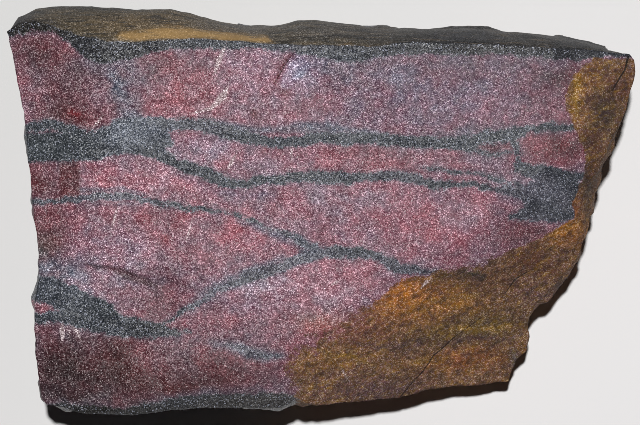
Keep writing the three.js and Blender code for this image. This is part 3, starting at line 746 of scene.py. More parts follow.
IRON_PATCHES = [
    (STEEL, -57, 12.4, 12, 4.5, 1), (BLUE_STEEL, -37.4, 15.8, 6, 3.4, 1), (PALE_IRON, -24, 17, 8, 2.2, 0.4),
    (PALE_IRON, -42, 2.8, 8, 1.8, 0.9), (PALE_IRON, -10, -11, 10, 3.4, 0.85),
    (PALE_IRON, -22, -17, 6, 3, 0.9), (PALE_IRON, -2.4, -7.4, 5, 3, 0.8), (PALE_IRON, 14, -11, 8, 2, 0.7),
    (PALE_IRON, 17, 6.4, 8, 1.4, 0.5), (PALE_IRON, -6, 31.8, 8, 1.2, 0.3),
    (PALE_IRON, 43, 4.2, 3, 1.6, 0.9), (PALE_IRON, 49.4, 2.6, 2, 1.8, 0.8),
    (PALE_IRON, 45, -2, 5, 1.6, 0.5), (PALE_IRON, 37.6, 4.4, 4, 3, 0.5), (PALE_IRON, 43.6, 3.8, 5, 3, 0.9),
    (BLUE_STEEL, 46, 2.6, 6, 4, 0.3), (PALE_IRON, -17, -27.4, 8, 3, 0.8), (BLUE_STEEL, -52, -17, 9, 4, 0.3),
    (STEEL, -44, -20, 8, 2.6, 0.6), (BLUE_STEEL, -2.4, -7.2, 3, 2, 0.6), (DIM_IRON, -32, -24, 8, 2.4, 0.7),
    (BLACK_IRON, -39, 31.4, 11, 2.6, 0.7), (DIM_IRON, -38, 32.4, 12, 2.4, 0.7),
    (BLACK_IRON, -55, 36, 9, 3, 0.9), (BLACK_IRON, -60, 37, 6, 2, 0.7), (BED_GREY, -14, -38.6, 17, 3, 0.9),
    (BLACK_IRON, -48, -39.4, 6, 2, 0.6), (BLACK_IRON, -42, -40.4, 16, 2.4, 0.8),
    (DIM_IRON, 30, 32.2, 20, 2.4, 1), (BLACK_IRON, 32, 32.6, 16, 1.6, 0.4), (DIM_IRON, 49, 30.6, 8, 2, 0.8),
]
RUST_PATCHES = [
    (ORANGE, 16.4, -17, 7.4, 4.6, 0.8), (OCHRE, 19, -18.6, 9, 4, 0.5), (WARM, 3.6, -21.6, 5, 3.4, 0.8),
    (BROWN, 34, -14.4, 8, 2.6, 0.6), (OLIVE, 33, -24.4, 10, 4, 0.95), (RED_RUST, 29.5, -31.4, 9, 2, 0.7),
    (YELLOW, 22, -30.6, 4, 1, 0.5), (OCHRE, 50, -3.4, 4, 2.8, 1), (ORANGE, 51.6, -5, 3, 2, 0.3),
    (ORANGE, 51.2, 1.2, 1.3, 2, 0.8), (BROWN, 44, -10.6, 6, 4, 1), (PURPLE_BROWN, 9.6, -37, 11, 2.4, 0.9),
    (PURPLE_BROWN, 2, -35, 4, 3, 0.5), (OCHRE, 0.6, -31, 7, 4, 0.35),
    (PURPLE_BROWN, 44.6, -16.6, 4, 3, 0.6), (PURPLE_BROWN, 4, -34, 7, 2, 0.5),
    (RED_BROWN, 8, -24, 6, 3.4, 0.9), (OLIVE, 22, -26, 6, 2, 0.5), (OLIVE, 24, -13, 5, 1.4, 0.6),
    (ORANGE, 30, -29.6, 6, 1.4, 0.25), (OCHRE, 29.4, -19, 5, 1.6, 0.6),
    (PURPLE_BROWN, 18, -28, 4, 1.6, 0.5), (RED_RUST, 55.6, 25.4, 5, 3, 0.3), (OCHRE, 51, 22.6, 2.4, 5, 0.3),
    (DARK_OLIVE, 57.6, 19.8, 4, 7.5, 1), (BROWN, 54.8, 11, 3, 6, 1), (DARK_OLIVE, 54, 6, 2, 6, 0.8),
    (BROWN, 61, 25, 2.6, 4, 1), (YELLOW, 50.4, 25.4, 1.1, 2, 1), (YELLOW, 49.6, 21.4, 1.2, 2, 1),
    (BROWN, 40, -32, 3, 6, 0.4), (GREY_GREEN, 40.4, -31.4, 0.9, 2.4, 0.9),
]
# the near-black patches along the outermost edge of the upper side are painted shade, where that side turns
# away from the light, over its dark skin
SKIN_PATCHES = [
    (SKIN_PALE, -36, 38, 15, 3, 0.9), (SKIN_PALE, -20, 36.2, 9, 2, 0.6), (SKIN_GREY, -18, 37, 9, 2, 0.6),
    (SKIN_GREY, 2, 35.6, 12, 2.4, 0.8), (SKIN_DARK, 28, 35, 20, 5, 1), (SKIN_DARK, 52, 34, 12, 5, 1),
    (SKIN_DARK, -61, 38, 6, 5, 0.9), (SKIN_BLACK_AND_SHADE, -42, 41.8, 16, 1.6, 0.8),
    (SKIN_DARK, -12, 38, 8, 1.6, 0.3), (SKIN_BLACK_AND_SHADE, 10, 38.4, 12, 1.2, 0.4),
    (SKIN_BLACK_AND_SHADE, 56, 33.6, 7, 1.8, 0.7),
]
# the tan stain on the upper side: x, and how far above the edge of the face it reaches
TAN_REACH = [(-45, -1.5), (-40, 2.5), (-32, 3.4), (-21, 2.1), (-11, 1.9), (-7.2, -1.5), (1.5, -1.5), (3, 0.7),
             (9.5, 0.7), (11, -1.5)]


# ---- the markings as values at every point of the skin ----
# patterns of waves: height, sizes along x, y and z, offsets
DRIFT_X = [(7, (31, 31, 15), (0, 5, 0))]
DRIFT_Y = [(4, (23, 40, 17), (9, 0, 0))]
DRIFT_FROM = (3, 25)                  # depths below the face where the beds begin to drift, and do so in full
WANDER_X = [(0.7, (3.1, 3.1, 3.1), (0, 0, 20)), (0.3, (1.1, 1.1, 1.1), (0, 0, 40))]
WANDER_Y = [(0.35, (2.7, 2.7, 2.7), (0, 30, 0)), (0.25, (1.1, 1.1, 1.1), (0, 50, 0))]
CRUST_WANDER = [(0.8, (3.3, 3.3, 3.3), (0, 60, 0))]
CRUST_SWING = [(1, (9, 9, 9), (0, 0, 70))]
CRUST_SWING_GROWTH = 0.12             # for each mm of depth
CRUST_WANDER_FROM = (1, 8)            # depths where both begin, and are full
CRUST_LEAN = (0.14, -0.04)            # how far its edge runs out in x and y for each mm of depth
CRUST_SOFTNESS = 0.6
CRUST_BLOTS = [(2.4, (17, 17, 9), (3, 0, 0)), (0.8, (5, 5, 3), (0, 0, 4))]   # stains low on the other sides
CRUST_BLOTS_LESS = 1.1
CRUST_BLOTS_FROM = (16, 36)           # depths where the stains begin, and are full
CRUST_BLOTS_FADE = 4
PARTING_WANDER = [(0.1, (8, 8, 8), (0, 0, 0))]
PARTING_FACING = (0.35, 0.6)          # how squarely the side faces +Y where the parting begins, and is sure
PARTING_RIM = -0.05                   # on the rim itself it just falls short of showing
PARTING_CHIPS = [(0.5, (5, 5, 5), (0, 0, 0))]
PARTING_BREAKS = (0.3, 1.2)           # depth of breaks at which the parting begins to go, and is gone
PARTING_LOSS = 1.4
NO_PARTING = -0.6                     # on the face and the belly
TAN_SOFTNESS = 1.4
TAN_RIM = 0.2
TAN_DOWN_TO = 24                      # height below which there is no stain
OFF_AXIS = 1e-6                       # keeps the point on the heart's axis from dividing by nothing


def bed_plan(places):
    """Where each point lies on the plan of the face, following the tilted beds down into the rock."""
    x, y, z = places.T
    depth = depth_below_face(x, y, z)
    below = ramp(*DRIFT_FROM, depth)
    plan_x = x + waves(DRIFT_X, x, y, z) * below + waves(WANDER_X, x, y, z)
    plan_y = y - BED_SLANT * depth + waves(DRIFT_Y, x, y, z) * below + waves(WANDER_Y, x, y, z)
    return plan_x, plan_y


def on_line(line, x):
    return np.interp(x, [point[0] for point in line], [point[1] for point in line])


def band_depth(x, y):
    deepest = np.maximum(y - on_line(TOP_BED, x), on_line(BOTTOM_BED, x) - y)
    for strip in BANDS.values():
        deepest = np.maximum(deepest, inside_strip(strip, x, y))
    return np.clip(deepest, -4, 4)


def near_patch(x, y, at_x, at_y, reach_x, reach_y):
    return np.exp(-(((x - at_x) / reach_x) ** 2 + ((y - at_y) / reach_y) ** 2))


def paint(base, patches, streaks, x, y):
    """Colours of the points: patches with soft, wandering edges over the base, and streaks over those."""
    moved_x = x + PAINT_WANDER * noise(x / PAINT_WAVES, y / PAINT_WAVES, PAINT_SLICES[0])
    moved_y = y + PAINT_WANDER / 2 * noise(x / PAINT_WAVES, y / PAINT_WAVES, PAINT_SLICES[1])
    colour = np.tile(linear(*base), (len(x), 1))
    for tone, at_x, at_y, reach_x, reach_y, strength in patches:
        share = strength * near_patch(moved_x, moved_y, at_x, at_y, reach_x, reach_y)
        colour += (linear(*tone) - colour) * share[:, None]
    return paint_streaks(colour, streaks, x, y)


def paint_streaks(colour, streaks, x, y):
    for tone, strength, blur, strip in streaks:
        share = strength * ramp(-blur, blur, inside_strip(strip, x, y))
        colour += (linear(*tone) - colour) * share[:, None]
    return colour


def crust_depth(places):
    """How deep in the weathered crust each point lies, and how deep in its stains on the other sides."""
    x, y, z = places.T
    depth = depth_below_face(x, y, z)
    wander = waves(CRUST_WANDER, x, y, z)
    wander += (1 + CRUST_SWING_GROWTH * depth) * waves(CRUST_SWING, x, y, z)
    inside = inside_outline(CRUST_OUTLINE, x + CRUST_LEAN[0] * depth, y + CRUST_LEAN[1] * depth)
    inside = inside + wander * ramp(*CRUST_WANDER_FROM, depth)
    inside = inside / (CRUST_SOFTNESS + sum(much * near_patch(x, y, *patch) for *patch, much in CRUST_BLUR))
    blots = waves(CRUST_BLOTS, x, y, z) - CRUST_BLOTS_LESS
    blots = blots - CRUST_BLOTS_FADE * (1 - ramp(*CRUST_BLOTS_FROM, depth))
    return np.clip(np.maximum(inside, blots), -3, 3)


def parting_cover(skin):
    """How surely each point lies on the smooth parting of the upper side, above 0 where it does."""
    x, y, z = skin["places"].T
    _, out_y = away_from_heart(x + OFF_AXIS, y)
    faces_up = ramp(*PARTING_FACING, out_y + waves(PARTING_WANDER, x, y, z))
    below_edge = np.where(skin["rim"], PARTING_RIM, 1)
    broken = ramp(*PARTING_BREAKS, skin["broken"] + waves(PARTING_CHIPS, x, y, z))
    cover = np.minimum(below_edge, 2 * faces_up - 1 - PARTING_LOSS * broken)
    return np.where(skin["rim"] | skin["on_side"], cover, NO_PARTING)


def tan_cover(skin):
    """How deep in the tan stain each point lies: it starts at the edge of the face and thins out above."""
    x, y, z = skin["places"].T
    above = y - on_line(TOP_EDGE, x)
    upper = np.minimum((on_line(TAN_REACH, x) - above) / TAN_SOFTNESS, np.where(skin["rim"], TAN_RIM, 1))
    on_upper_side = (skin["rim"] | (skin["down"] > 0)) & (above > -1) & (z > TAN_DOWN_TO)
    return np.where(on_upper_side, np.clip(upper, -1, 1), -1)


def broken_off(skin):
    """How much of the side has broken off at each point, in millimetres."""
    x, y, z = skin["places"].T
    out_x, out_y = away_from_heart(x + OFF_AXIS, y)
    start, full = (SWELL_DEPTH * share for share in BREAKS_SHOW)
    broken = break_depth(x, y, z, out_x, out_y) * ramp(start, full, skin["down"])
    return np.where(skin["on_side"], broken, 0)


# ---- fine relief, laid on along the normals ----
def crack_depth(x, y):
    off, half = nearest_thread(CRACKS_AND_SCARP_SHADOW, x, y)
    return CRACK_DEPTH * np.exp(-((off / CRACK_REACH) ** 2)) * ramp(*CRACK_THIN, half)


def crust_streaks(x, y, z):
    turn = math.radians(CRUST_STREAKS["turn"])
    along = x * math.cos(turn) + y * math.sin(turn)
    across = y * math.cos(turn) - x * math.sin(turn)
    across = across / CRUST_STREAKS["across"] + 0.6 * noise(x / 5, y / 5, 90)
    return CRUST_STREAKS["height"] * noise(along / CRUST_STREAKS["along"], across, z / 4 + 80)


def fine_relief(skin):
    x, y, z = skin["places"].T
    sugar = roughness(SUGAR_RELIEF, x, y, z, 1)
    sideways = ramp(*HACKLY_FROM, skin["down"])
    hackly = np.minimum(scar_height(HACKLY_SCARS, x, y, z) - HACKLY_MEAN, HACKLY_PROUD) * sideways
    smooth = ramp(-0.2, 0.6, skin["parting"])
    crusted = ramp(-0.4, 0.6, skin["crust"])
    relief = (sugar + hackly) * mix(1, SUGAR_ON_PARTING, smooth) + crust_streaks(x, y, z) * crusted
    relief += roughness(SUGAR_RELIEF, x + SUGAR_SHIFT, y, z, 1) * SUGAR_ON_CRUST * crusted
    return relief - crack_depth(x, y) * ramp(CRACK_FOOT, THREADS_FROM, z)


def dress_skin():
    """The skin with its markings and its fine relief, still in millimetres round the drawing's origin."""
    skin = build_skin()
    skin["broken"] = broken_off(skin)
    skin["parting"] = parting_cover(skin)
    skin["crust"] = crust_depth(skin["places"])
    normals = point_normals(skin["places"], skin["triangles"])
    level = (skin["down"] == 1) & (skin["places"][:, 2] < LEVEL_UNDER)
    relief = np.where(level, 0, fine_relief(skin))
    skin["places"] = skin["places"] + normals * relief[:, None]
    skin["places"][:, 2] = np.maximum(skin["places"][:, 2], 0)
    return skin


# ---- the mesh ----
# the map that the finish is baked into: how much of its width and height each region takes
MAP_MARGIN = 0.006
MAP_SIDE_WIDTH = 0.735
MAP_SIDE_HEIGHT = 0.172
MAP_FACE_SQUASH = 0.93


def map_places(skin):
    """Map coordinates for the three corners of every triangle, in the order of skin["parts"]."""
    places = skin["places"]
    face_scale = (1 - 2 * MAP_MARGIN) / np.ptp(places[:, 0])
    columns = skin["columns"]

    side = skin["parts"]["side"]
    column = side % columns
    wraps = np.ptp(column, axis=1) > columns / 2
    column = column + columns * ((column == 0) & wraps[:, None])
    row = column.mean(axis=1, keepdims=True) // (columns / 2)
    along = column / columns * 2 - row
    side_u = MAP_MARGIN + along * (MAP_SIDE_WIDTH - 2 * MAP_MARGIN)
    down = skin["down"][side]
    side_v = 1 - MAP_MARGIN - (row + down * (1 - 2 * MAP_MARGIN / MAP_SIDE_HEIGHT)) * MAP_SIDE_HEIGHT

    face = places[skin["parts"]["face"]]
    face_u = 0.5 + (face[..., 0] - np.mean([places[:, 0].min(), places[:, 0].max()])) * face_scale
    face_v = MAP_MARGIN + (face[..., 1] - places[:, 1].min()) * face_scale * MAP_FACE_SQUASH

    belly = places[skin["parts"]["belly"]]
    belly_scale = (1 - MAP_SIDE_WIDTH - 2 * MAP_MARGIN) / np.ptp(places[:, 1])
    belly_u = MAP_SIDE_WIDTH + MAP_MARGIN + (belly[..., 1] - places[:, 1].min()) * belly_scale
    belly_v = 1 - MAP_MARGIN - (belly[..., 0] - places[:, 0].min()) * belly_scale
    return np.concatenate([
        np.stack([side_u, side_v], -1), np.stack([face_u, face_v], -1), np.stack([belly_u, belly_v], -1),
    ])


def add_colour(mesh, name, colours):
    attribute = mesh.attributes.new(name, "FLOAT_COLOR", "POINT")
    rgba = np.ones((len(colours), 4), np.float32)
    rgba[:, :3] = colours
    attribute.data.foreach_set("color", rgba.ravel())


def add_value(mesh, name, values):
    attribute = mesh.attributes.new(name, "FLOAT", "POINT")
    attribute.data.foreach_set("value", np.asarray(values, np.float32))


def thread_colours(threads, places):
    """The distance off a thread as red and its half width as green; low down there are none."""
    x, y, z = places.T
    off, half = nearest_thread(threads, x, y)
    off = np.where(z > THREADS_FROM, off, FAR_OFF)
    return np.stack([off, half, np.zeros_like(off)], 1)


def make_stone():
    skin = dress_skin()
    plan_x, plan_y = bed_plan(skin["places"])
    mesh = bpy.data.meshes.new("ironstone_skin")
    mesh.from_pydata(((skin["places"] + FOOTPRINT_SHIFT) * MM).tolist(), [], skin["triangles"].tolist())
    mesh.uv_layers.new(name="OFBake").data.foreach_set("uv", map_places(skin).ravel())
    mesh.shade_smooth()
    x, y, _ = skin["places"].T
    jasper = paint(ROSE, JASPER_PATCHES, JASPER_STREAKS, plan_x, plan_y)
    add_colour(mesh, "jasper", paint_streaks(jasper, FACE_LINES, x, y))
    add_colour(mesh, "iron", paint(IRON, IRON_PATCHES, (), plan_x, plan_y))
    add_colour(mesh, "rust", paint(RUST, RUST_PATCHES, RUST_STREAKS, plan_x, plan_y))
    add_colour(mesh, "skin", paint(SKIN, SKIN_PATCHES, (), x, y))
    add_value(mesh, "band", band_depth(plan_x, plan_y))
    add_value(mesh, "crust", skin["crust"])
    add_value(mesh, "parting", skin["parting"])
    add_value(mesh, "tan", tan_cover(skin))
    add_colour(mesh, "vein", thread_colours(VEINS, skin["places"]))
    add_colour(mesh, "crack", thread_colours(CRACKS_AND_SCARP_SHADOW, skin["places"]))
    stone = bpy.data.objects.new("banded_ironstone_surface", mesh)
    bpy.context.scene.collection.objects.link(stone)
    return stone


# ---- materials ----
class Graph:
    """A material's nodes, added and wired one at a time. Inputs may be numbers, colours or sockets."""

    def __init__(self, name):
        self.material = bpy.data.materials.new(name)
        self.material.use_nodes = True
        self.nodes = self.material.node_tree.nodes
        self.links = self.material.node_tree.links
        self.shader = self.nodes["Principled BSDF"]

    def feed(self, socket, value):
        if isinstance(value, bpy.types.NodeSocket):
            self.links.new(value, socket)
        else:
            socket.default_value = value

    def add(self, kind, inputs=(), output=0, **settings):
        node = self.nodes.new(kind)
        for name, value in settings.items():
            setattr(node, name, value)
        for key, value in dict(inputs).items():
            self.feed(node.inputs[key], value)
        return node.outputs[output]

    def attribute(self, name, output="Fac"):
        return self.add("ShaderNodeAttribute", output=output, attribute_name=name)

    def sum(self, operation, *values):
        return self.add("ShaderNodeMath", enumerate(values), operation=operation)

    def plus(self, a, b):
        return self.sum("ADD", a, b)

    def times(self, a, b):
        return self.sum("MULTIPLY", a, b)

    def most(self, a, b):
        return self.sum("MAXIMUM", a, b)

    def wobble(self, value, width):
        """A value between 0 and 1 made as wide as given, half to each side of 0."""
        return self.sum("MULTIPLY_ADD", value, width, -width / 2)

    def vector(self, operation, *values, **named):
        return self.add("ShaderNodeVectorMath", {**dict(enumerate(values)), **named}, operation=operation)

    def scaled(self, vector, scale):
        return self.vector("SCALE", vector, Scale=scale)

    def parts(self, colour):
        """The red, green and blue of a colour."""
        return self.add("ShaderNodeSeparateColor", {"Color": colour}).node.outputs

    def ramp(self, value, start, end, low=0.0, high=1.0, shape="SMOOTHSTEP"):
        inputs = {0: value, 1: start, 2: end, 3: low, 4: high}
        return self.add("ShaderNodeMapRange", inputs, interpolation_type=shape)

    def shade(self, pattern, first, last):
        """A factor that goes from one number to another over the usual range of a noise."""
        return self.ramp(pattern, *NOISE_RANGE, first, last)

    def blend(self, share, a, b):
        node = self.nodes.new("ShaderNodeMix")
        node.data_type = "RGBA"
        self.feed(node.inputs["Factor"], share)
        self.feed(node.inputs[6], a)
        self.feed(node.inputs[7], b)
        return node.outputs[2]

    def between(self, share, a, b):
        node = self.nodes.new("ShaderNodeMix")
        self.feed(node.inputs["Factor"], share)
        self.feed(node.inputs[2], a)
        self.feed(node.inputs[3], b)
        return node.outputs[0]

    def curve(self, value, points):
        """A number from another by straight lines between the points given."""
        node = self.nodes.new("ShaderNodeFloatCurve")
        line = node.mapping.curves[0]
        line.points[0].location = points[0]
        line.points[1].location = points[-1]
        for point in points[1:-1]:
            line.points.new(*point)
        for point in line.points:
            point.handle_type = "VECTOR"
        node.mapping.update()
        self.feed(node.inputs["Value"], value)
        return node.outputs[0]

    def noise(self, place, size, detail=2.0, output=0):
        return self.add("ShaderNodeTexNoise", {"Vector": place, "Scale": 1 / size, "Detail": detail}, output)

    def cells(self, place, size, output="Color"):
        return self.add("ShaderNodeTexVoronoi", {"Vector": place, "Scale": 1 / size}, output)


def rgba(tone):
    return (*linear(*tone), 1)


# sizes in millimetres
GRAIN_SIZE = 0.18           # crystals of the broken face
CLUSTER_SIZE = 0.42         # knots of crystals
# noises: size, and how much detail
NOISES = {
    "soft": (1.6, 3), "mottle": (2.8, 4), "wide": (8, 3), "cloud": (2.1, 3), "smear": (0.8, 5),
    "streaks": (1.3, 5), "broad": (3.4, 2), "blots": (1.6, 5), "spots": (0.7, 3), "lumps": (0.7, 3),
}
STREAK_TURN = math.radians(20)
STREAK_STRETCH = (3.0, 1.0, 1.6)
SMEAR_SQUEEZE = (0.16, 1.0, 1.0)      # draws the smears of the parting out along the beds
NOISE_RANGE = (0.3, 0.7)    # nearly all values of a noise lie between these
TINT_RANGE = (0.38, 0.62)
VEIN_TONE = (212, 194, 196)
TAN_TONE = (166, 134, 88)
# dark lines of the cracks, and of the painted shadow along the scarp
CRACK_AND_SCARP_SHADOW_TONE = (26, 20, 18)
# light colours of the painted glints, in jasper and in hematite
JASPER_PAINTED_GLINT = (238, 220, 222)
IRON_PAINTED_GLINT = (212, 217, 238)
DARKEST = (0.004, 0.004, 0.004)
# linear tints of the jasper, from greyish lilac to red
LILAC_TINT = (0.94, 1.04, 1.07, 1)
RED_TINT = (1.08, 0.92, 0.94, 1)
# and of the knots of crystals in the crust, from olive to purple
OLIVE_TINT = (1.12, 1.06, 0.78, 1)
PURPLE_TINT = (0.99, 0.88, 1.2, 1)
# brightness of single crystals, partly their own tone and partly painted glints, by their share of all: most
# are dull, a few are very bright
GRAIN_CURVE = [(0, 0.018), (0.28, 0.059), (0.52, 0.118), (0.77, 0.245), (0.93, 0.545), (1, 1)]
GRAIN_GAIN = 5.13
CLUSTER_SHADES = (0.86, 1.14)         # the same of knots of crystals, darkest and brightest
# the colourless share is painted glint, standing in for light that the crystals reflect
COLOURLESS = 0.95           # how much of a kind's least channel is colourless glitter, which varies most
STEADY = 0.52               # how much of its own colour stays the same from crystal to crystal
STEADY_RUST = 0.85          # the same in the crust
RUST_IN_GLITTER = 0.7       # how far the crust counts as rusty there
# for jasper, hematite, crust and parting: how even the crystals and their painted glints look, and how rough
# the surface is
DULL = (0.12, 0.22, 0.3, 0.22)
DULL_TAN = 0.75
ROUGH = (0.5, 0.38, 0.85, 0.6)
# painted glints, rare crystals given a light colour that stands in for reflected light, in jasper and in
# hematite: share of crystals without one, and strength
PAINTED_GLINT_RARE = (0.945, 0.925)
PAINTED_GLINT_STRENGTH = (0.5, 0.55)
PAINTED_GLINT_BLUR = 0.03
PARTING_WITHOUT_PAINTED_GLINTS = 0.8
# how far the edges of the kinds of rock wander, and how much single crystals and knots roughen them
EDGE_WANDER = {"band": 1.2, "crust": 2.4, "parting": 0.8}
CLUSTER_FUZZ = 0.5
GRAIN_FUZZ = 0.3
VEIN_FUZZ = 0.35
CRACK_FUZZ = 0.16
# each kind: depth at which it begins and is full, and where it isn't 0 and 1, how much it covers at both
MASKS = {
    "band": (-0.26, 0.28),
    "halo": (-1.1, 0.2, 0.0, 0.38),
    "core": (-0.1, 0.7),
    "crust": (-0.25, 0.35),
    "parting": (-0.15, 0.25),
    "vein": (-0.3, 0.25, 0.0, 0.72),
    "crack": (-0.12, 0.04, 0.0, 0.9),
}
# the tan stain: how far its edge wanders, where it begins and is full, and where even its last traces do
TAN_WANDER = 2.4
TAN_EDGE = (-0.1, 1.0)
TAN_OUTSIDE = (-0.9, -0.4)
# mottles: pattern, value at which they begin and are full, how much they cover then, tone
RUST_MOTTLES = [
    ("streaks", 0.5, 0.66, 0.36, BROWN),
    ("streaks", 0.45, 0.34, 0.35, YELLOW),
    ("blots", 0.54, 0.66, 0.3, PURPLE_BROWN),
    ("broad", 0.52, 0.7, 0.2, PURPLE_BROWN),
]
SKIN_MOTTLES = [("smear", 0.46, 0.62, 0.75, SKIN_BLACK_AND_SHADE), ("smear", 0.46, 0.34, 0.3, SKIN_PALE)]
# factors over the range of a pattern
RUST_SHADES = {"spots": (1.3, 0.7), "blots": (1.3, 0.7), "broad": (1.14, 0.88)}
IRON_SHADES = (0.85, 1.15)
CLOUD_SHADES = (0.8, 1.18)
TAN_SHADES = (1.15, 0.8)
CORE_DARKENS = (-0.36, 1.04)          # brightness of a band: what its core adds, and what its edge has
LEAN = 0.7                            # how much single crystals lean
GLOSS = 0.4
BUMP_HEIGHT = 0.12                    # millimetres
BUMP_STRENGTH = 0.7
STREAK_BUMP = 1.2                     # height of the crust's streaks beside that of the lumps


class Crystals:
    """Two sizes of crystals: cells, each with a colour and three chances of its own."""

    def __init__(self, g, place):
        self.colour = g.cells(place, GRAIN_SIZE)
        self.grain = g.parts(self.colour)
        self.cluster = g.parts(g.cells(place, CLUSTER_SIZE))


def kind_masks(g, place, crystals):
    """Where each kind of rock shows, with edges that follow single crystals."""
    fuzz = g.plus(g.wobble(crystals.cluster[0], CLUSTER_FUZZ), g.wobble(crystals.grain[1], GRAIN_FUZZ))
    soft = g.noise(place, *NOISES["soft"])
    edge = {kind: g.plus(g.attribute(kind), g.wobble(soft, much)) for kind, much in EDGE_WANDER.items()}
    for kind in ("vein", "crack"):
        off, half, _ = g.parts(g.attribute(kind, "Color"))
        edge[kind] = g.sum("SUBTRACT", half, g.sum("ABSOLUTE", off))
    depth = {
        "band": g.plus(edge["band"], fuzz),
        "halo": edge["band"],
        "core": edge["band"],
        "crust": g.plus(edge["crust"], fuzz),
        "parting": edge["parting"],
        "vein": g.sum("MULTIPLY_ADD", fuzz, VEIN_FUZZ, edge["vein"]),
        "crack": g.sum("MULTIPLY_ADD", fuzz, CRACK_FUZZ, edge["crack"]),
    }
    return {kind: g.ramp(depth[kind], *MASKS[kind]) for kind in MASKS}


def by_kind(g, masks, crusted, values):
    """A number that differs between jasper, hematite, crust and parting."""
    jasper, iron, crust, parting = values
    value = g.between(masks["band"], jasper, iron)
    value = g.between(crusted, value, crust)
    return g.between(masks["parting"], value, parting)


def mottled(g, colour, patterns, mottles):
    for pattern, start, full, much, tone in mottles:
        colour = g.blend(g.ramp(patterns[pattern], start, full, 0.0, much), colour, rgba(tone))
    return colour


def rust_colour(g, place, crystals):
    """Weathered crust: mottles and faint streaks of ochre, olive and brown over the painted tones."""
    turned = {"Vector": place, "Rotation": (0, 0, STREAK_TURN), "Scale": STREAK_STRETCH}
    streak_place = g.add("ShaderNodeMapping", turned, vector_type="TEXTURE")
    patterns = {name: g.noise(place, *NOISES[name]) for name in ("blots", "spots")}
    patterns.update({name: g.noise(streak_place, *NOISES[name]) for name in ("streaks", "broad")})
    rust = mottled(g, g.attribute("rust", "Color"), patterns, RUST_MOTTLES)
    rust = g.vector("MULTIPLY", rust, g.blend(crystals.cluster[0], OLIVE_TINT, PURPLE_TINT))
    spots, blots, broad = (g.shade(patterns[name], *shades) for name, shades in RUST_SHADES.items())
    return g.scaled(rust, g.times(g.times(spots, blots), broad)), patterns["streaks"]


def jasper_colour(g, masks, patterns):
    """Jasper between greyish lilac and red, and greyer beside the bands."""
    jasper = g.attribute("jasper", "Color")
    for pattern in patterns:
        tint = g.blend(g.ramp(pattern, *TINT_RANGE, shape="LINEAR"), LILAC_TINT, RED_TINT)
        jasper = g.vector("MULTIPLY", jasper, tint)
    return g.blend(masks["halo"], jasper, rgba(SLATE))


def rock_tone(g, place, masks, crystals):
    """The mean colour of every spot, before single crystals are told apart."""
    mottle = g.noise(place, *NOISES["mottle"])
    wide = g.noise(place, *NOISES["wide"])
    cloud = g.parts(g.noise(place, *NOISES["cloud"], output=1))[1]
    smear = g.noise(g.vector("MULTIPLY", place, SMEAR_SQUEEZE), *NOISES["smear"])
    core = g.times(g.sum("MULTIPLY_ADD", masks["core"], *CORE_DARKENS), g.shade(mottle, *IRON_SHADES))
    iron = g.scaled(g.attribute("iron", "Color"), core)
    rock = g.blend(masks["band"], jasper_colour(g, masks, (mottle, wide)), iron)
    rock = g.scaled(rock, g.shade(cloud, *CLOUD_SHADES))
    rust, streaks = rust_colour(g, place, crystals)
    rock = g.blend(masks["crust"], rock, rust)
    rock = g.blend(masks["vein"], rock, rgba(VEIN_TONE))
    skin = mottled(g, g.attribute("skin", "Color"), {"smear": smear}, SKIN_MOTTLES)
    rock = g.blend(masks["parting"], rock, skin)
    tan = g.ramp(g.plus(g.attribute("tan"), g.wobble(smear, TAN_WANDER)), *TAN_EDGE)
    tan = g.times(tan, g.ramp(g.attribute("tan"), *TAN_OUTSIDE))
    rock = g.blend(tan, rock, g.scaled(rgba(TAN_TONE)[:3], g.shade(smear, *TAN_SHADES)))
    return g.blend(masks["crack"], rock, rgba(CRACK_AND_SCARP_SHADOW_TONE)), tan, streaks


def crystals_and_painted_glints(g, rock, bright, rusty):
    """Single crystals: their brightness changes more than their colour, partly their own tone and partly
    painted glints that stand in for the light each reflects.
    """
    parts = g.parts(rock)
    least = g.sum("MINIMUM", parts[0], g.sum("MINIMUM", parts[1], parts[2]))
    # the colourless part, which brighter crystals add as painted glint
    white = g.times(g.between(rusty, least, parts[1]), COLOURLESS)
    white = g.add("ShaderNodeCombineXYZ", {0: white, 1: white, 2: white})
    own = g.vector("SUBTRACT", rock, white)
    own = g.scaled(own, g.between(g.between(rusty, STEADY, STEADY_RUST), bright, 1.0))
    return g.vector("MAXIMUM", g.vector("ADD", own, g.scaled(white, bright)), DARKEST)


def painted_glints(g, masks, crystals, contrast):
    """How strongly each crystal gets a painted glint, a light colour that stands in for reflected light: a
    rare few do, and none in the crust or a crack.
    """
    rare = g.between(masks["band"], *PAINTED_GLINT_RARE)
    glint = g.ramp(crystals.grain[2], rare, g.plus(rare, PAINTED_GLINT_BLUR))
    glint = g.times(glint, g.times(contrast, g.between(masks["band"], *PAINTED_GLINT_STRENGTH)))
    unlit = g.most(g.most(masks["crust"], masks["crack"]), g.times(masks["parting"], PARTING_WITHOUT_PAINTED_GLINTS))
    return g.times(glint, g.sum("SUBTRACT", 1.0, unlit))


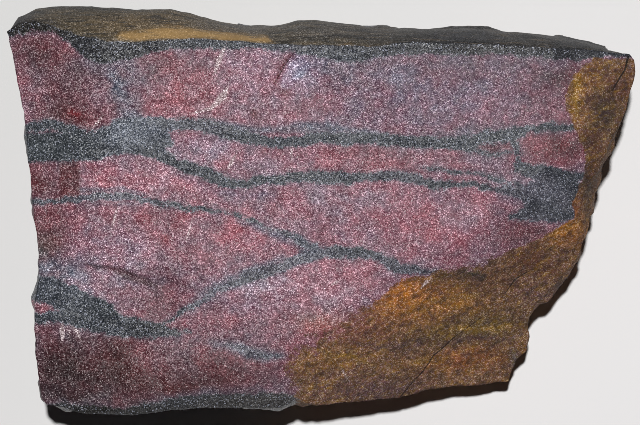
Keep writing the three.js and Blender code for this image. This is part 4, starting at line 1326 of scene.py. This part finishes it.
def rock_material():
    g = Graph("banded_ironstone_rock")
    place = g.scaled(g.add("ShaderNodeTexCoord", output="Object"), 1 / MM)
    crystals = Crystals(g, place)
    masks = kind_masks(g, place, crystals)
    rock, tan, streaks = rock_tone(g, place, masks, crystals)

    # the crystals and their painted glints are less marked in the crust and on the parting, and least in the
    # tan stain
    dull = by_kind(g, masks, masks["crust"], DULL)
    contrast = g.sum("SUBTRACT", 1.0, g.between(tan, dull, DULL_TAN))
    bright = g.times(g.curve(crystals.grain[0], GRAIN_CURVE), GRAIN_GAIN)
    bright = g.times(bright, g.ramp(crystals.cluster[2], 0.0, 1.0, *CLUSTER_SHADES, "LINEAR"))
    rusty = g.times(masks["crust"], RUST_IN_GLITTER)
    colour = crystals_and_painted_glints(g, rock, g.between(contrast, 1.0, bright), rusty)
    # painted glints: rare crystals take a light colour that stands in for reflected light
    painted_glint_tone = g.blend(masks["band"], rgba(JASPER_PAINTED_GLINT), rgba(IRON_PAINTED_GLINT))
    g.feed(g.shader.inputs["Base Color"], g.blend(painted_glints(g, masks, crystals, contrast), colour, painted_glint_tone))

    # gloss: hematite shines, jasper glints, the crust is earthy
    rough = by_kind(g, masks, g.most(masks["crust"], tan), ROUGH)
    g.feed(g.shader.inputs["Roughness"], g.plus(rough, g.wobble(crystals.grain[1], GRAIN_FUZZ)))
    g.shader.inputs["Specular IOR Level"].default_value = GLOSS

    # every crystal leans its own way, over small lumps
    lean = g.vector("SUBTRACT", crystals.colour, (0.5, 0.5, 0.5))
    lean = g.scaled(lean, g.times(contrast, LEAN))
    normal = g.vector("NORMALIZE", g.vector("ADD", g.add("ShaderNodeNewGeometry", output="Normal"), lean))
    lumps = g.noise(place, *NOISES["lumps"])
    lumps = g.sum("MULTIPLY_ADD", g.times(streaks, masks["crust"]), STREAK_BUMP, lumps)
    height = {"Strength": BUMP_STRENGTH, "Distance": BUMP_HEIGHT * MM, "Height": lumps, "Normal": normal}
    g.feed(g.shader.inputs["Normal"], g.add("ShaderNodeBump", height))
    return g.material


def paper_material():
    g = Graph("pale_paper")
    place = g.add("ShaderNodeTexCoord", output="Object")
    x_y = g.add("ShaderNodeSeparateXYZ", {"Vector": place}).node
    right = g.sum("SUBTRACT", x_y.outputs[0], x_y.outputs[1])
    # painted light: the paper is lighter towards the right and the bottom, standing in for uneven light on it
    tone = g.blend(g.ramp(right, -PAPER_LIGHT_FADE, PAPER_LIGHT_FADE), PAPER_SHADED_LEFT, PAPER_LIT_RIGHT)
    g.feed(g.shader.inputs["Base Color"], tone)
    g.shader.inputs["Roughness"].default_value = 0.9
    g.shader.inputs["Specular IOR Level"].default_value = 0.2
    return g.material


# ---- floor, light and camera ----
FLOOR_HALF = 3.0
# the paper's tones at the upper left and the lower right, and the width of the change between them: a painted
# fall of light
PAPER_SHADED_LEFT = (0.755, 0.75, 0.74, 1)
PAPER_LIT_RIGHT = (0.895, 0.88, 0.88, 1)
PAPER_LIGHT_FADE = 0.12                    # metres
CAMERA_HEIGHT = 0.64
CAMERA_PLACE = (-0.25 * MM, -0.43 * MM, CAMERA_HEIGHT)
LENS = 168.75
SENSOR = 36.0
# lights: place in metres, size, power in watts; each looks at the stone
KEY_LIGHT = ((-0.012, 0.14, 1.0), 0.028, 9.3)
SOFT_LIGHTS = [
    ((-0.75, 0.25, 0.7), 0.5, 0.03),
    ((0.75, 0.25, 0.7), 0.5, 0.03),
    ((0.0, 0.95, 0.55), 0.6, 0.12),
]
SURROUND = 0.002
PIXEL_FILTER = 0.8                   # width in pixels: the grain of the stone stays crisp


def add_floor():
    mesh = bpy.data.meshes.new("floor")
    corners = [(sx * FLOOR_HALF, sy * FLOOR_HALF, 0) for sx, sy in ((-1, -1), (1, -1), (1, 1), (-1, 1))]
    mesh.from_pydata(corners, [], [(0, 1, 2, 3)])
    mesh.materials.append(paper_material())
    floor = bpy.data.objects.new("floor", mesh)
    bpy.context.scene.collection.objects.link(floor)


def add_light(name, place, size, power):
    data = bpy.data.lights.new(name, "AREA")
    data.shape = "DISK"
    data.size = size
    data.energy = power
    light = bpy.data.objects.new(name, data)
    light.location = place
    light.rotation_euler = (-light.location).to_track_quat("-Z", "Y").to_euler()
    bpy.context.scene.collection.objects.link(light)


def add_lights():
    add_light("key", *KEY_LIGHT)
    for n, soft in enumerate(SOFT_LIGHTS):
        add_light(f"soft_{n}", *soft)
    world = bpy.data.worlds.new("surround")
    world.use_nodes = True
    world.node_tree.nodes["Background"].inputs["Color"].default_value = (1, 1, 1, 1)
    world.node_tree.nodes["Background"].inputs["Strength"].default_value = SURROUND
    bpy.context.scene.world = world


def add_camera():
    data = bpy.data.cameras.new("camera")
    data.lens = LENS
    data.sensor_width = SENSOR
    data.sensor_fit = "HORIZONTAL"
    data.clip_start = 0.01
    camera = bpy.data.objects.new("camera", data)
    camera.location = CAMERA_PLACE
    bpy.context.scene.collection.objects.link(camera)
    bpy.context.scene.camera = camera


# ---- the scene ----
stone = make_stone()
stone.data.materials.append(rock_material())
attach(stone, "root")
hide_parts(NODE)
add_floor()
add_lights()
add_camera()
bpy.context.scene.view_settings.view_transform = "Standard"
bpy.context.scene.cycles.filter_width = PIXEL_FILTER
bpy.context.scene.cycles.denoising_prefilter = "NONE"
